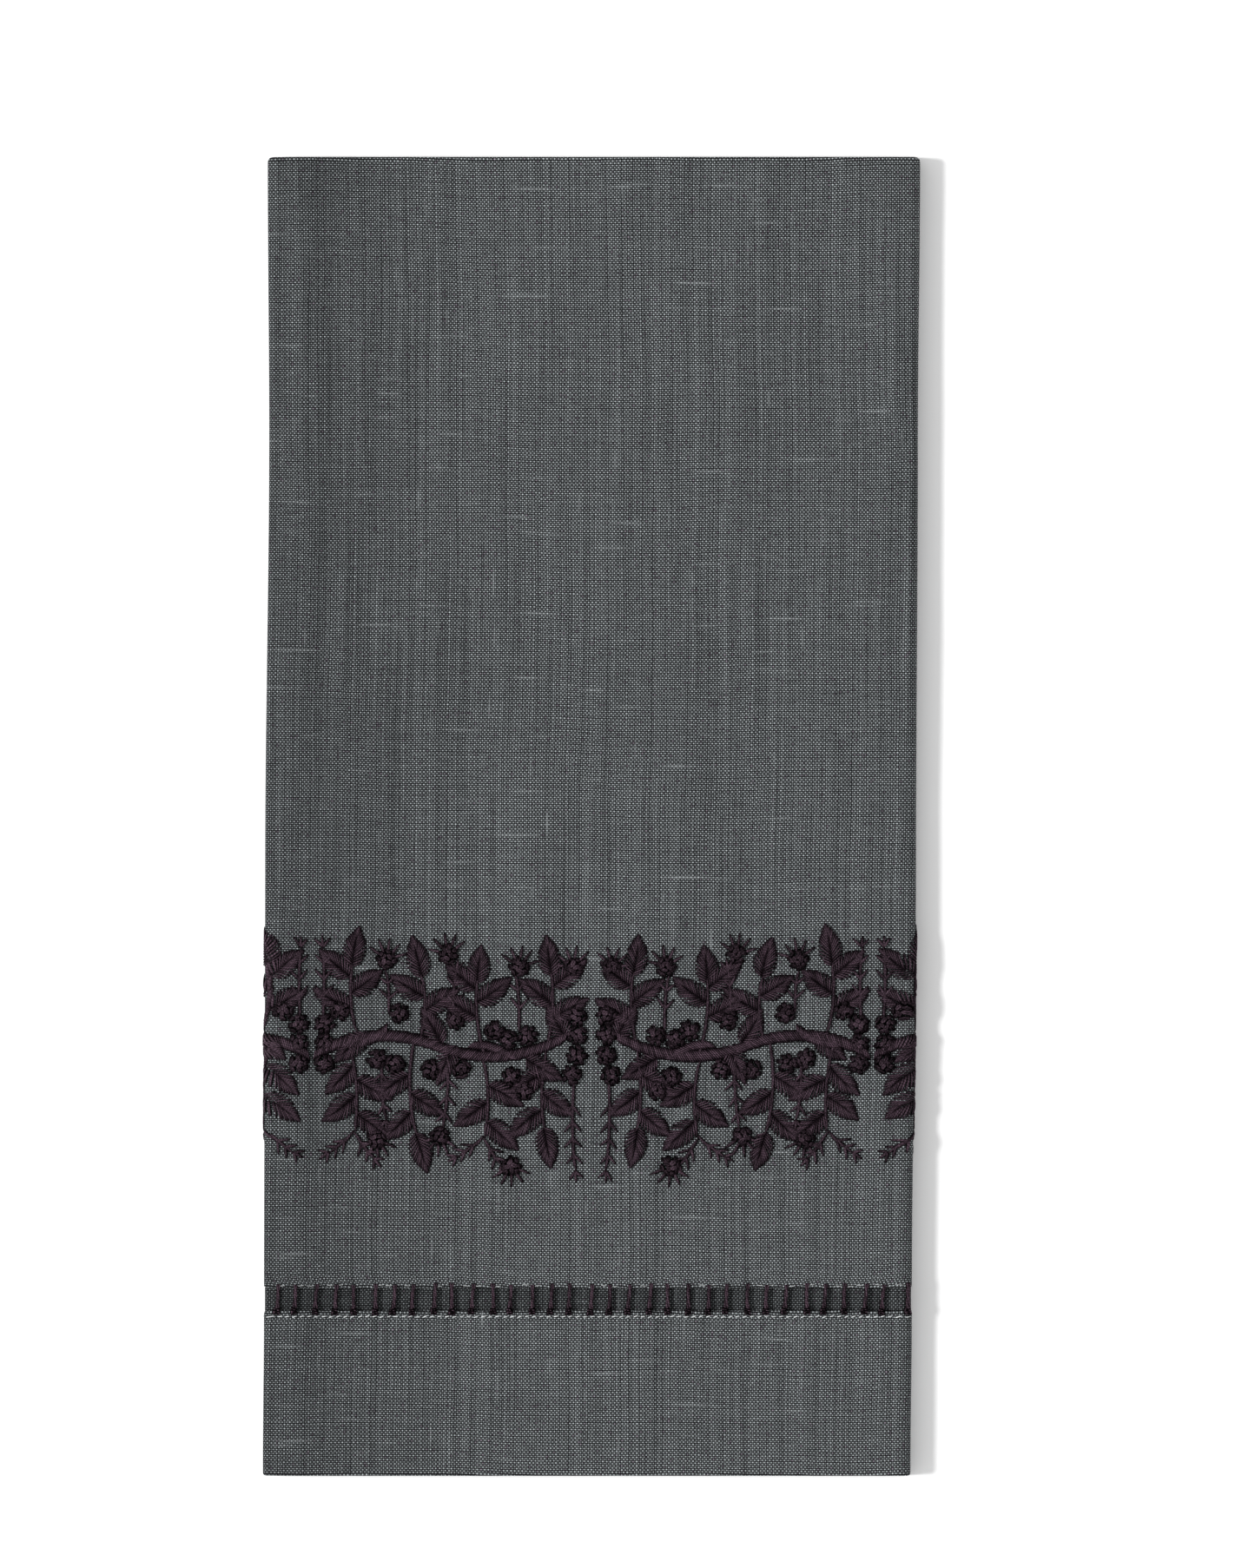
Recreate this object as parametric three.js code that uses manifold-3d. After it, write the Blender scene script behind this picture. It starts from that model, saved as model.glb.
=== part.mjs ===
// A folded linen hand towel with an embroidered border and a hem band carried on a ladder of thread bars.
// Millimetres, +Z up. It lies on its back on z = 0 with its embroidered face up. +Y runs from the hem band
// to the folded top edge, and the origin is under the middle of the folded towel.
import * as THREE from "three";
import Module from "manifold-3d";

// The cloth, opened out and folded.
const FLAT_WIDTH = 500;
const FLAT_LENGTH = 700;
const FOLDED_WIDTH = 174;
const FOLDED_LENGTH = 352;
const CLOTH_THICKNESS = 1;

// The folds. The cloth is folded in half into a pack of two plies, then the pack's sides are turned to the
// back: the left flap lies under the middle panel, and the right flap lies under the left one.
const PLY_PITCH = 1.7;
const PACK_GAP = 0.35;
const LEFT_FLAP_STOP = 76.4;
const LEFT_SAG = 1.8;
const LEFT_SAG_REACH = 10;

// The side folds at shares of the folded length above the hem, from the towel's centre line.
const SIDE_FOLDS = [
  { height: 0, left: -87.8, right: 85.2 },
  { height: 0.13, left: -87.5, right: 85.6 },
  { height: 0.46, left: -87.2, right: 86.7 },
  { height: 0.79, left: -86.1, right: 87.2 },
  { height: 1, left: -86.5, right: 87.8 },
];

// The hem band, the open slot above it and the ladder of thread bars across the slot.
const HEM_HEIGHT = 43.5;
const HEM_THICKNESS = 1.4;
const SLOT_HEIGHT = 6.5;
const BAR_PITCH = 5.25;
const BAR_WIDTH = 1.2;
const BAR_THICKNESS = 0.9;
const BAR_WANDER = 0.35;
const BAR_WANDER_STEP = 2.3;
const RAIL_WIDTH = 0.7;
const PIECE_GAP = 0.3;

// The embroidered border, a wavy vine with leafy sprays, thorny twigs and berries. Its pattern is one half of
// a repeat, mirrored about the towel's centre line. In the tables x runs out from that line and y up from the
// border's lower edge, and headings and turns are degrees.
const BORDER_HEIGHT = 75;
const BORDER_REPEAT = 150;
const STEM_WIDTH = 1.2;
const STEM_RELIEF = 0.5;
const BOUGH_RELIEF = 0.9;
const LEAF_LENGTH = 11.2;
const LEAF_WIDTH = 6.4;
const LEAF_RELIEF = 0.8;
const LEAF_ANGLE = 55;
const END_LEAF_OVERLAP = 1.2;
const FORK_ANGLE = 36;
const FORK_LENGTH = 9;
const FORK_TURN = 14;
const BERRY_SIZE = 6.2;
const BERRY_RELIEF = 1.6;
const BERRY_LOBES = 7;
const BERRY_LOBE_DEPTH = 0.12;
const STAR_RAYS = 5;
const STAR_ANGLE = 32;
const STAR_RAY_START = 1.8;
const STAR_RAY_LENGTH = 3.9;
const STAR_RAY_WIDTH = 0.8;
const SLIVER = 0.02;

// Shares of a motif's size: a strand's section is flat below and comes to a ridge, a pointed leaf has two
// raised sides and a groove along its middle, and a berry is a lobed dome.
const STRAND_SECTION = [
  { left: 0.5, height: 0 },
  { left: 0, height: 1 },
  { left: -0.5, height: 0 },
];
const LEAF_SECTION = [
  { left: 0.5, height: 0 },
  { left: 0.28, height: 1 },
  { left: 0, height: 0.7 },
  { left: -0.28, height: 1 },
  { left: -0.5, height: 0 },
];
const LEAF_STATIONS = [
  { share: 0.16, fill: 0.64 },
  { share: 0.46, fill: 1 },
  { share: 0.8, fill: 0.55 },
];
const BERRY_LEVELS = [
  { height: 0, reach: 1 },
  { height: 0.8, reach: 0.7 },
];

// The vine's two boughs and a side bough off each.
const BOUGHS = [
  { x: 7, y: 42, heading: -30, length: 37, turn: 54, width: 3.1 },
  { x: 39.5, y: 38.5, heading: 26, length: 36, turn: -56, width: 3.1 },
  { x: 21, y: 36.2, heading: 40, length: 12, turn: -44, width: 2.5 },
  { x: 55, y: 44, heading: -42, length: 12, turn: 44, width: 2.5 },
];

// Leafy sprays. Side leaves grow at shares of the stem's length and alternate from the first side, 1 for the
// left, and a spray ends in a leaf or in a fork of two twigs.
const SPRAYS = [
  { x: 12, y: 39.5, heading: 104, length: 20, turn: -22, leaves: [0.36, 0.56, 0.8], first: 1 },
  { x: 28.5, y: 36.5, heading: 72, length: 21, turn: 24, leaves: [0.52, 0.7, 0.88], first: -1 },
  { x: 46, y: 41, heading: 106, length: 18, turn: -30, leaves: [0.44, 0.66], first: 1 },
  { x: 63, y: 43, heading: 74, length: 19, turn: 26, leaves: [0.34, 0.56, 0.8], first: -1 },
  { x: 12, y: 38.5, heading: -78, length: 22, turn: -22, leaves: [0.3, 0.52, 0.74], first: 1 },
  { x: 29, y: 36, heading: -104, length: 21, turn: 26, leaves: [0.34, 0.56, 0.8], first: -1, forked: true },
  { x: 47.5, y: 41, heading: -78, length: 26, turn: -28, leaves: [0.36, 0.54, 0.74], first: 1 },
  {
    x: 65, y: 40.5, heading: -106, length: 24, turn: 24,
    leaves: [0.26, 0.42, 0.6, 0.8], first: 1, forked: true,
  },
];

// Bare twigs.
const TWIGS = [
  { x: 19.6, y: 43, heading: 94, length: 16, turn: -14 },
  { x: 37, y: 45, heading: 86, length: 15, turn: 14 },
  { x: 54.5, y: 48, heading: 96, length: 12, turn: -18 },
  { x: 72, y: 46, heading: 94, length: 20, turn: -8 },
  { x: 4.6, y: 31, heading: -86, length: 25, turn: -10 },
  { x: 38.5, y: 37.5, heading: -94, length: 20.5, turn: 16 },
  { x: 56, y: 37.5, heading: -86, length: 18, turn: -14 },
];

// Leaves on the vine itself, berries, and star berries with a fan of rays.
const VINE_LEAVES = [
  { x: 17.5, y: 36.2, heading: -150 },
  { x: 36.2, y: 39.6, heading: -64 },
  { x: 40, y: 40, heading: 60 },
  { x: 60, y: 42.6, heading: -40 },
  { x: 6.4, y: 41, heading: 60 },
];
const BERRIES = [
  { x: 4, y: 47.6 },
  { x: 3.9, y: 42.4 },
  { x: 4, y: 37 },
  { x: 5.2, y: 31.8 },
  { x: 17.2, y: 42.2 },
  { x: 22.3, y: 41.2 },
  { x: 26.2, y: 43.6 },
  { x: 34.8, y: 33.4 },
  { x: 36.4, y: 46.4 },
  { x: 51.6, y: 48.2 },
  { x: 52.6, y: 34.6 },
  { x: 57.4, y: 36 },
  { x: 67.4, y: 49 },
  { x: 21.4, y: 31.2 },
  { x: 17.8, y: 27.6 },
  { x: 43, y: 33.2 },
];
const OUTER_BERRIES = [
  { x: 71.5, y: 45.4 },
  { x: 71.5, y: 40.1 },
  { x: 71.5, y: 34.8 },
];
const STARS = [
  { x: 19.6, y: 60.6, heading: 98 },
  { x: 38.6, y: 64, heading: 80 },
  { x: 55, y: 62.6, heading: 100 },
  { x: 21.4, y: 7.4, heading: -94 },
  { x: 40.6, y: 15.4, heading: -84 },
  { x: 57.4, y: 14.6, heading: -94 },
  { x: 5.2, y: 60.6, heading: 70 },
];

// How finely the sheets and the motifs are divided.
const LEFT_TURN_STEPS = 6;
const RIGHT_TURN_STEPS = 8;
const TOP_TURN_STEPS = 6;
const PANEL_STEPS = 6;
const FLAP_STEPS = 5;
const SAG_STEPS = 3;
const FRONT_STEPS = 9;
const BACK_STEPS = 8;
const HEM_STEPS = 2;
const STEM_STEPS = 3;
const BOUGH_STEPS = 5;

const LINEN = { color: 0x575a5c, roughness: 0.92, metalness: 0 };
const THREAD = { color: 0x392d35, roughness: 0.7, metalness: 0 };

// Lengths that follow from the sizes above.
const PACK = CLOTH_THICKNESS + PLY_PITCH;
const FRONT_TOP = 3 * PACK + 2 * PACK_GAP;
const LEFT_RADIUS = PACK + PACK_GAP / 2;
const RIGHT_RADIUS = (3 * PACK) / 2 + PACK_GAP;
const LEFT_ARC = Math.PI * (LEFT_RADIUS - PACK / 2);
const RIGHT_ARC = Math.PI * (RIGHT_RADIUS - PACK / 2);
const PANEL = FOLDED_WIDTH - LEFT_RADIUS - RIGHT_RADIUS;
const LEFT_FLAP = LEFT_FLAP_STOP + FOLDED_WIDTH / 2 - LEFT_RADIUS;
const PANEL_START = LEFT_FLAP + LEFT_ARC;
const PANEL_END = PANEL_START + PANEL;
const RIGHT_FLAP_START = PANEL_END + RIGHT_ARC;
const HEM_END = -FOLDED_LENGTH / 2;
const TOP_TURN_Y = FOLDED_LENGTH / 2 - PACK / 2;
const FRONT_LENGTH = TOP_TURN_Y - HEM_END;
const TOP_TURN_LENGTH = (Math.PI * PLY_PITCH) / 2;
const SLOT_TOP = HEM_HEIGHT + SLOT_HEIGHT;

const { clamp, degToRad, lerp, radToDeg, smoothstep } = THREE.MathUtils;
const wasm = await Module();
wasm.setup();

// The side folds' places at a distance y along the towel.
function sideFoldsAt(y) {
  const height = clamp((y - HEM_END) / FOLDED_LENGTH, 0, 1);
  const above = Math.max(SIDE_FOLDS.findIndex((row) => row.height >= height), 1);
  const [low, high] = [SIDE_FOLDS[above - 1], SIDE_FOLDS[above]];
  const share = smoothstep(height, low.height, high.height);
  return { left: lerp(low.left, high.left, share), right: lerp(low.right, high.right, share) };
}

// Folding in half: v runs along the cloth from the hem, and lift is the height over the cloth's middle, on
// the face that ends up outside. It gives the place along the towel and the depth under the pack's front.
function foldInHalf(v, lift) {
  if (v <= FRONT_LENGTH) return { y: HEM_END + v, depth: CLOTH_THICKNESS / 2 - lift };
  const turn = Math.PI * Math.min((v - FRONT_LENGTH) / TOP_TURN_LENGTH, 1);
  const radius = PLY_PITCH / 2 + lift;
  const past = Math.max(v - FRONT_LENGTH - TOP_TURN_LENGTH, 0);
  return { y: TOP_TURN_Y + radius * Math.sin(turn) - past, depth: PACK / 2 - radius * Math.cos(turn) };
}

// The left fold comes down where no right flap is left to hold it up.
function leftSag(fromFold) {
  return LEFT_SAG * (1 - smoothstep(fromFold, 0, LEFT_SAG_REACH));
}

// Folding the sides to the back: u runs across the cloth from the left flap's free edge.
function foldSides(u, y, depth) {
  const fold = sideFoldsAt(y);
  if (u > PANEL_END) {
    const turn = Math.PI * Math.min((u - PANEL_END) / RIGHT_ARC, 1);
    const radius = RIGHT_RADIUS - depth;
    const past = Math.max(u - RIGHT_FLAP_START, 0);
    const x = fold.right - RIGHT_RADIUS + radius * Math.sin(turn) - past;
    return new THREE.Vector3(x, y, FRONT_TOP - RIGHT_RADIUS + radius * Math.cos(turn));
  }
  const point = new THREE.Vector3(0, y, 0);
  if (u >= PANEL_START) {
    const share = (u - PANEL_START) / PANEL;
    point.x = lerp(fold.left + LEFT_RADIUS, fold.right - RIGHT_RADIUS, share);
    point.z = FRONT_TOP - depth;
  } else {
    const turn = Math.PI * Math.min((PANEL_START - u) / LEFT_ARC, 1);
    const radius = LEFT_RADIUS - depth;
    const past = Math.max(LEFT_FLAP - u, 0);
    point.x = fold.left + LEFT_RADIUS - radius * Math.sin(turn) + past;
    point.z = FRONT_TOP - LEFT_RADIUS + radius * Math.cos(turn);
  }
  point.z -= leftSag(point.x - fold.left);
  return point;
}

// Where a point of the opened-out towel lies once it is folded.
function place(u, v, lift) {
  const { y, depth } = foldInHalf(v, lift);
  return foldSides(u, y, depth);
}

function evenly(from, to, steps) {
  return Array.from({ length: steps + 1 }, (_, i) => lerp(from, to, i / steps));
}

function joined(...runs) {
  return [...new Set(runs.flat())];
}

// Stations across the cloth, closer in the turns and where the left fold sags.
const SAG_STOP = LEFT_SAG_REACH - LEFT_RADIUS;
const LEFT_TURN_STATIONS = evenly(LEFT_FLAP, PANEL_START, LEFT_TURN_STEPS);
const RIGHT_TURN_STATIONS = evenly(PANEL_END, RIGHT_FLAP_START, RIGHT_TURN_STEPS);
const ACROSS = joined(
  evenly(0, LEFT_FLAP - SAG_STOP, FLAP_STEPS),
  evenly(LEFT_FLAP - SAG_STOP, LEFT_FLAP, SAG_STEPS),
  LEFT_TURN_STATIONS,
  evenly(PANEL_START, PANEL_START + SAG_STOP, SAG_STEPS),
  evenly(PANEL_START + SAG_STOP, PANEL_END, PANEL_STEPS),
  RIGHT_TURN_STATIONS,
  evenly(RIGHT_FLAP_START, FLAT_WIDTH, FLAP_STEPS),
);

// Stations along the cloth, from the slot over the top fold to the hidden end.
const ALONG = joined(
  evenly(SLOT_TOP, FRONT_LENGTH, FRONT_STEPS),
  evenly(FRONT_LENGTH, FRONT_LENGTH + TOP_TURN_LENGTH, TOP_TURN_STEPS),
  evenly(FRONT_LENGTH + TOP_TURN_LENGTH, FLAT_LENGTH, BACK_STEPS),
);

// A closed sheet over a grid of stations, between an outer and an inner lift. Cell (i, j) lies between
// stations i and i + 1 across and j and j + 1 along, and cells that aren't filled are left open.
function sheetGeometry(across, along, [outer, inner], filled = () => true) {
  const at = (i, j, face) => 2 * (i * along.length + j) + face;
  const points = across.flatMap((u) => along.flatMap((v) => [place(u, v, outer), place(u, v, inner)]));
  const isFilled = (i, j) =>
    i >= 0 && j >= 0 && i < across.length - 1 && j < along.length - 1 && filled(i, j);
  const triangles = [];
  const quad = (a, b, c, d) => triangles.push(a, b, c, a, c, d);
  for (let i = 0; i < across.length - 1; i++) {
    for (let j = 0; j < along.length - 1; j++) {
      if (!isFilled(i, j)) continue;
      quad(at(i, j, 0), at(i + 1, j, 0), at(i + 1, j + 1, 0), at(i, j + 1, 0));
      quad(at(i, j, 1), at(i, j + 1, 1), at(i + 1, j + 1, 1), at(i + 1, j, 1));
      if (!isFilled(i, j - 1)) quad(at(i, j, 1), at(i + 1, j, 1), at(i + 1, j, 0), at(i, j, 0));
      if (!isFilled(i, j + 1)) {
        quad(at(i + 1, j + 1, 1), at(i, j + 1, 1), at(i, j + 1, 0), at(i + 1, j + 1, 0));
      }
      if (!isFilled(i - 1, j)) quad(at(i, j + 1, 1), at(i, j, 1), at(i, j, 0), at(i, j + 1, 0));
      if (!isFilled(i + 1, j)) {
        quad(at(i + 1, j, 1), at(i + 1, j + 1, 1), at(i + 1, j + 1, 0), at(i + 1, j, 0));
      }
    }
  }
  const geometry = new THREE.BufferGeometry().setFromPoints(points).setIndex(triangles);
  geometry.computeVertexNormals();
  return geometry;
}

// The towel's own cloth, from the slot's upper edge over the top fold and down the back.
function towelCloth() {
  return sheetGeometry(ACROSS, ALONG, [CLOTH_THICKNESS / 2, -CLOTH_THICKNESS / 2]);
}

// The hem band, a doubled strip with its face in line with the cloth's.
function hemBand() {
  const lifts = [CLOTH_THICKNESS / 2, CLOTH_THICKNESS / 2 - HEM_THICKNESS];
  return sheetGeometry(ACROSS, evenly(0, HEM_HEIGHT, HEM_STEPS), lifts);
}

// The ladder: thread bars across the slot, joined by the runs of thread along its two edges.
function ladderStitch() {
  const count = Math.round(FLAT_WIDTH / BAR_PITCH);
  const bars = Array.from({ length: count }, (_, k) => {
    const middle = ((k + 0.5) * FLAT_WIDTH) / count + BAR_WANDER * Math.sin(BAR_WANDER_STEP * k);
    return [middle - BAR_WIDTH / 2, middle + BAR_WIDTH / 2];
  });
  const clearOfBars = (u) => bars.flat().every((edge) => Math.abs(edge - u) > PIECE_GAP);
  const turnStations = [...LEFT_TURN_STATIONS, ...RIGHT_TURN_STATIONS].filter(clearOfBars);
  const across = [...bars.flat(), ...turnStations].sort((a, b) => a - b);
  const along = [
    HEM_HEIGHT + PIECE_GAP,
    HEM_HEIGHT + PIECE_GAP + RAIL_WIDTH,
    SLOT_TOP - PIECE_GAP - RAIL_WIDTH,
    SLOT_TOP - PIECE_GAP,
  ];
  const inBar = (u) => bars.some(([from, to]) => u > from && u < to);
  const filled = (i, j) => j !== 1 || inBar((across[i] + across[i + 1]) / 2);
  return sheetGeometry(across, along, [BAR_THICKNESS / 2, -BAR_THICKNESS / 2], filled);
}

// A stem starts at (x, y), sets off at its heading and turns evenly over its length.
function stemAt({ x, y, heading, length, turn }, share) {
  const start = degToRad(heading);
  const bend = degToRad(turn);
  const now = start + bend * share;
  const radius = length / bend;
  return {
    x: x + radius * (Math.sin(now) - Math.sin(start)),
    y: y - radius * (Math.cos(now) - Math.cos(start)),
    heading: radToDeg(now),
  };
}

// A point ahead of a stem's point and to its left, at a height over the border's base.
function beside({ x, y, heading }, ahead, left, height) {
  const angle = degToRad(heading);
  const [cos, sin] = [Math.cos(angle), Math.sin(angle)];
  return new THREE.Vector3(x + ahead * cos - left * sin, y + ahead * sin + left * cos, height);
}

function turned(at, angle) {
  return { ...at, heading: at.heading + angle };
}

function ahead(at, distance) {
  const { x, y } = beside(at, distance, 0, 0);
  return { ...at, x, y };
}

// A closed skin over rings of points. A ring of one point is a tip, and a wider end ring is capped.
function skin(rings) {
  const starts = rings.map((_, i) => rings.slice(0, i).reduce((sum, ring) => sum + ring.length, 0));
  const triangles = [];
  rings.slice(1).forEach((next, i) => {
    const [ring, a, b] = [rings[i], starts[i], starts[i + 1]];
    const count = Math.max(ring.length, next.length);
    for (let p = 0; p < count; p++) {
      const q = (p + 1) % count;
      if (ring.length > 1 && next.length > 1) triangles.push([a + p, a + q, b + q], [a + p, b + q, b + p]);
      else if (ring.length > 1) triangles.push([a + p, a + q, b]);
      else triangles.push([a, b + q, b + p]);
    }
  });
  const [first, last] = [rings[0], rings.at(-1)];
  for (let p = 2; p < first.length; p++) triangles.push([0, p, p - 1]);
  for (let p = 2; p < last.length; p++) triangles.push([p - 1, p, 0].map((k) => starts.at(-1) + k));
  return { points: rings.flat(), triangles };
}

function strandRing(at, width, relief) {
  return STRAND_SECTION.map(({ left, height }) => beside(at, 0, left * width, height * relief));
}

function strand(stem, width, relief, steps) {
  return skin(evenly(0, 1, steps).map((share) => strandRing(stemAt(stem, share), width, relief)));
}

function ray(at) {
  return skin([strandRing(at, STAR_RAY_WIDTH, STEM_RELIEF), [beside(at, STAR_RAY_LENGTH, 0, 0)]]);
}

function leaf(at) {
  const rings = LEAF_STATIONS.map(({ share, fill }) =>
    LEAF_SECTION.map(({ left, height }) => {
      const relief = height * LEAF_RELIEF * Math.sqrt(fill);
      return beside(at, share * LEAF_LENGTH, left * fill * LEAF_WIDTH, relief);
    }),
  );
  return skin([[beside(at, 0, 0, 0)], ...rings, [beside(at, LEAF_LENGTH, 0, 0)]]);
}

function berry({ x, y }) {
  const at = { x, y, heading: 0 };
  const rings = BERRY_LEVELS.map(({ height, reach }, level) =>
    Array.from({ length: BERRY_LOBES }, (_, k) => {
      const lobe = (k + level) % 2 ? 1 : 1 - BERRY_LOBE_DEPTH;
      const spoke = { ...at, heading: (360 * k) / BERRY_LOBES };
      return beside(spoke, (BERRY_SIZE / 2) * reach * lobe, 0, height * BERRY_RELIEF);
    }),
  );
  return skin([[beside(at, 0, 0, 0)], ...rings, [beside(at, 0, 0, BERRY_RELIEF)]]);
}

function twig(stem) {
  return strand(stem, STEM_WIDTH, STEM_RELIEF, STEM_STEPS);
}

function star(at) {
  const fan = evenly(-1, 1, STAR_RAYS - 1).map((share) => {
    const spoke = turned(at, (share * STAR_ANGLE * (STAR_RAYS - 1)) / 2);
    return ray(ahead(spoke, STAR_RAY_START));
  });
  return [berry(at), ...fan];
}

function spray(row) {
  const leaves = row.leaves.map((share, k) => {
    return leaf(turned(stemAt(row, share), LEAF_ANGLE * row.first * (-1) ** k));
  });
  const end = stemAt(row, 1);
  const tips = row.forked
    ? [1, -1].map((side) => {
        return twig({ ...turned(end, FORK_ANGLE * side), length: FORK_LENGTH, turn: FORK_TURN * side });
      })
    : [leaf(ahead(end, -END_LEAF_OVERLAP))];
  return [twig(row), ...leaves, ...tips];
}

const OUTER_SKINS = OUTER_BERRIES.map(berry);
const HALF_SKINS = [
  ...BOUGHS.map((row) => strand(row, row.width, BOUGH_RELIEF, BOUGH_STEPS)),
  ...SPRAYS.flatMap(spray),
  ...TWIGS.map(twig),
  ...VINE_LEAVES.map(leaf),
  ...BERRIES.map(berry),
  ...OUTER_SKINS,
  ...STARS.flatMap(star),
];

// The border's solids: the halves right and left of the centre line, and the berries of the next repeats that
// the folded front still shows.
const BORDER = [
  { name: "border_right", skins: HALF_SKINS, acrossOf: (x) => x, mirrored: false },
  { name: "border_left", skins: HALF_SKINS, acrossOf: (x) => -x, mirrored: true },
  { name: "edge_berries_right", skins: OUTER_SKINS, acrossOf: (x) => BORDER_REPEAT - x, mirrored: true },
  { name: "edge_berries_left", skins: OUTER_SKINS, acrossOf: (x) => x - BORDER_REPEAT, mirrored: false },
];

// Skins joined into one solid on the flat pattern.
function joinedSkins(skins) {
  const solids = skins.map(({ points, triangles }) => {
    return new wasm.Manifold(
      new wasm.Mesh({
        numProp: 3,
        vertProperties: Float32Array.from(points.flatMap((point) => point.toArray())),
        triVerts: Uint32Array.from(triangles.flat()),
      }),
    );
  });
  return wasm.Manifold.union(solids).simplify(SLIVER).getMesh();
}

// A part of the pattern, laid on the folded cloth.
function borderGeometry({ skins, acrossOf, mirrored }) {
  const { vertProperties, triVerts } = joinedSkins(skins);
  const points = Array.from({ length: vertProperties.length / 3 }, (_, k) => {
    const [x, y, height] = vertProperties.slice(3 * k, 3 * k + 3);
    const lift = CLOTH_THICKNESS / 2 + PIECE_GAP + height;
    return place(FLAT_WIDTH / 2 + acrossOf(x), BORDER_HEIGHT + y, lift);
  });
  const triangles = Array.from(mirrored ? triVerts.toReversed() : triVerts);
  const geometry = new THREE.BufferGeometry().setFromPoints(points).setIndex(triangles);
  geometry.computeVertexNormals();
  return geometry;
}

function piece(name, geometry, finish) {
  const mesh = new THREE.Mesh(geometry, new THREE.MeshStandardMaterial(finish));
  mesh.name = name;
  return mesh;
}

const towel = new THREE.Group();
towel.add(piece("towel_cloth", towelCloth(), LINEN));
towel.add(piece("hem_band", hemBand(), LINEN));
towel.add(piece("ladder_stitch", ladderStitch(), THREAD));
for (const half of BORDER) towel.add(piece(half.name, borderGeometry(half), THREAD));

export default towel;
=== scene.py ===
import bpy
import numpy as np
from bpy.props import FloatProperty, FloatVectorProperty, IntProperty, PointerProperty
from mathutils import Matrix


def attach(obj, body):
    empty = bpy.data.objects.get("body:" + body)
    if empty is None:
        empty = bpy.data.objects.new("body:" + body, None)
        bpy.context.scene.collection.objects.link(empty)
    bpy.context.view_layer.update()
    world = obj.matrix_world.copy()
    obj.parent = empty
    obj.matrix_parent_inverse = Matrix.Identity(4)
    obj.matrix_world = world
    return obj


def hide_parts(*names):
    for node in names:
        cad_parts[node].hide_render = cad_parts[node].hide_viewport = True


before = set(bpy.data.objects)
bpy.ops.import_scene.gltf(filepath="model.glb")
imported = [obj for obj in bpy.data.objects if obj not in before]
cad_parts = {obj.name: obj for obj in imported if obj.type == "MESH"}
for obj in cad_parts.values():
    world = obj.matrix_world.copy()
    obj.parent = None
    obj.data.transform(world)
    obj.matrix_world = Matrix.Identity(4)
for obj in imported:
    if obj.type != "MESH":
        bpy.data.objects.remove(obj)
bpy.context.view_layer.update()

bl_info = {
    "name": "Folded Linen Hand Towel",
    "version": (1, 0, 0),
    "blender": (4, 5, 0),
    "location": "3D View > Sidebar > Towel",
    "description": "Weaves, hems and embroiders a folded linen hand towel",
    "category": "Object",
}

# Lengths are in millimetres up to the point where a mesh is made.
MM = 0.001

# The cloth, opened out and folded, as the solids have it.
FLAT_WIDTH = 500.0
FLAT_LENGTH = 700.0
FOLDED_WIDTH = 174.0
FOLDED_LENGTH = 352.0
PLY_THICKNESS = 1.0
PLY_PITCH = 1.7
PACK_GAP = 0.35
LEFT_FLAP_STOP = 76.4
LEFT_SAG = 1.8
LEFT_SAG_REACH = 10.0
HEM_HEIGHT = 43.5
SLOT_HEIGHT = 6.5

# The side folds at shares of the folded length above the hem, from the towel's centre line.
FOLD_HEIGHTS = np.array([0.0, 0.13, 0.46, 0.79, 1.0])
FOLD_LEFTS = np.array([-87.8, -87.5, -87.2, -86.1, -86.5])
FOLD_RIGHTS = np.array([85.2, 85.6, 86.7, 87.2, 87.8])

# Lengths that follow from the sizes above.
OUTER_LIFT = PLY_THICKNESS / 2
PACK = PLY_THICKNESS + PLY_PITCH
FRONT_TOP = 3 * PACK + 2 * PACK_GAP
LEFT_RADIUS = PACK + PACK_GAP / 2
RIGHT_RADIUS = 3 * PACK / 2 + PACK_GAP
LEFT_ARC = np.pi * (LEFT_RADIUS - PACK / 2)
RIGHT_ARC = np.pi * (RIGHT_RADIUS - PACK / 2)
PANEL = FOLDED_WIDTH - LEFT_RADIUS - RIGHT_RADIUS
LEFT_FLAP = LEFT_FLAP_STOP + FOLDED_WIDTH / 2 - LEFT_RADIUS
PANEL_START = LEFT_FLAP + LEFT_ARC
PANEL_END = PANEL_START + PANEL
RIGHT_FLAP_START = PANEL_END + RIGHT_ARC
HEM_END = -FOLDED_LENGTH / 2
TOP_TURN_Y = FOLDED_LENGTH / 2 - PACK / 2
FRONT_LENGTH = TOP_TURN_Y - HEM_END
TOP_TURN_LENGTH = np.pi * PLY_PITCH / 2
SLOT_TOP = HEM_HEIGHT + SLOT_HEIGHT

# Soft waves in the lying cloth: height, waves per millimetre across and along, and where each starts.
WAVES = (
    (0.11, 0.071, 0.023, 0.6),
    (0.09, -0.046, 0.088, 2.1),
    (0.06, 0.156, -0.041, 4.0),
    (0.04, 0.102, 0.213, 1.3),
)

# Slow drifts of the yarns from straight lines, in the same terms.
YARN_DRIFTS_ACROSS = ((0.55, 0.004, 0.017, 0.4), (0.16, 0.031, 0.078, 2.7), (0.07, 0.061, 0.19, 5.1))
YARN_DRIFTS_ALONG = ((0.8, 0.019, 0.003, 1.9), (0.2, 0.083, 0.027, 0.2), (0.08, 0.21, 0.052, 3.3))

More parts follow.
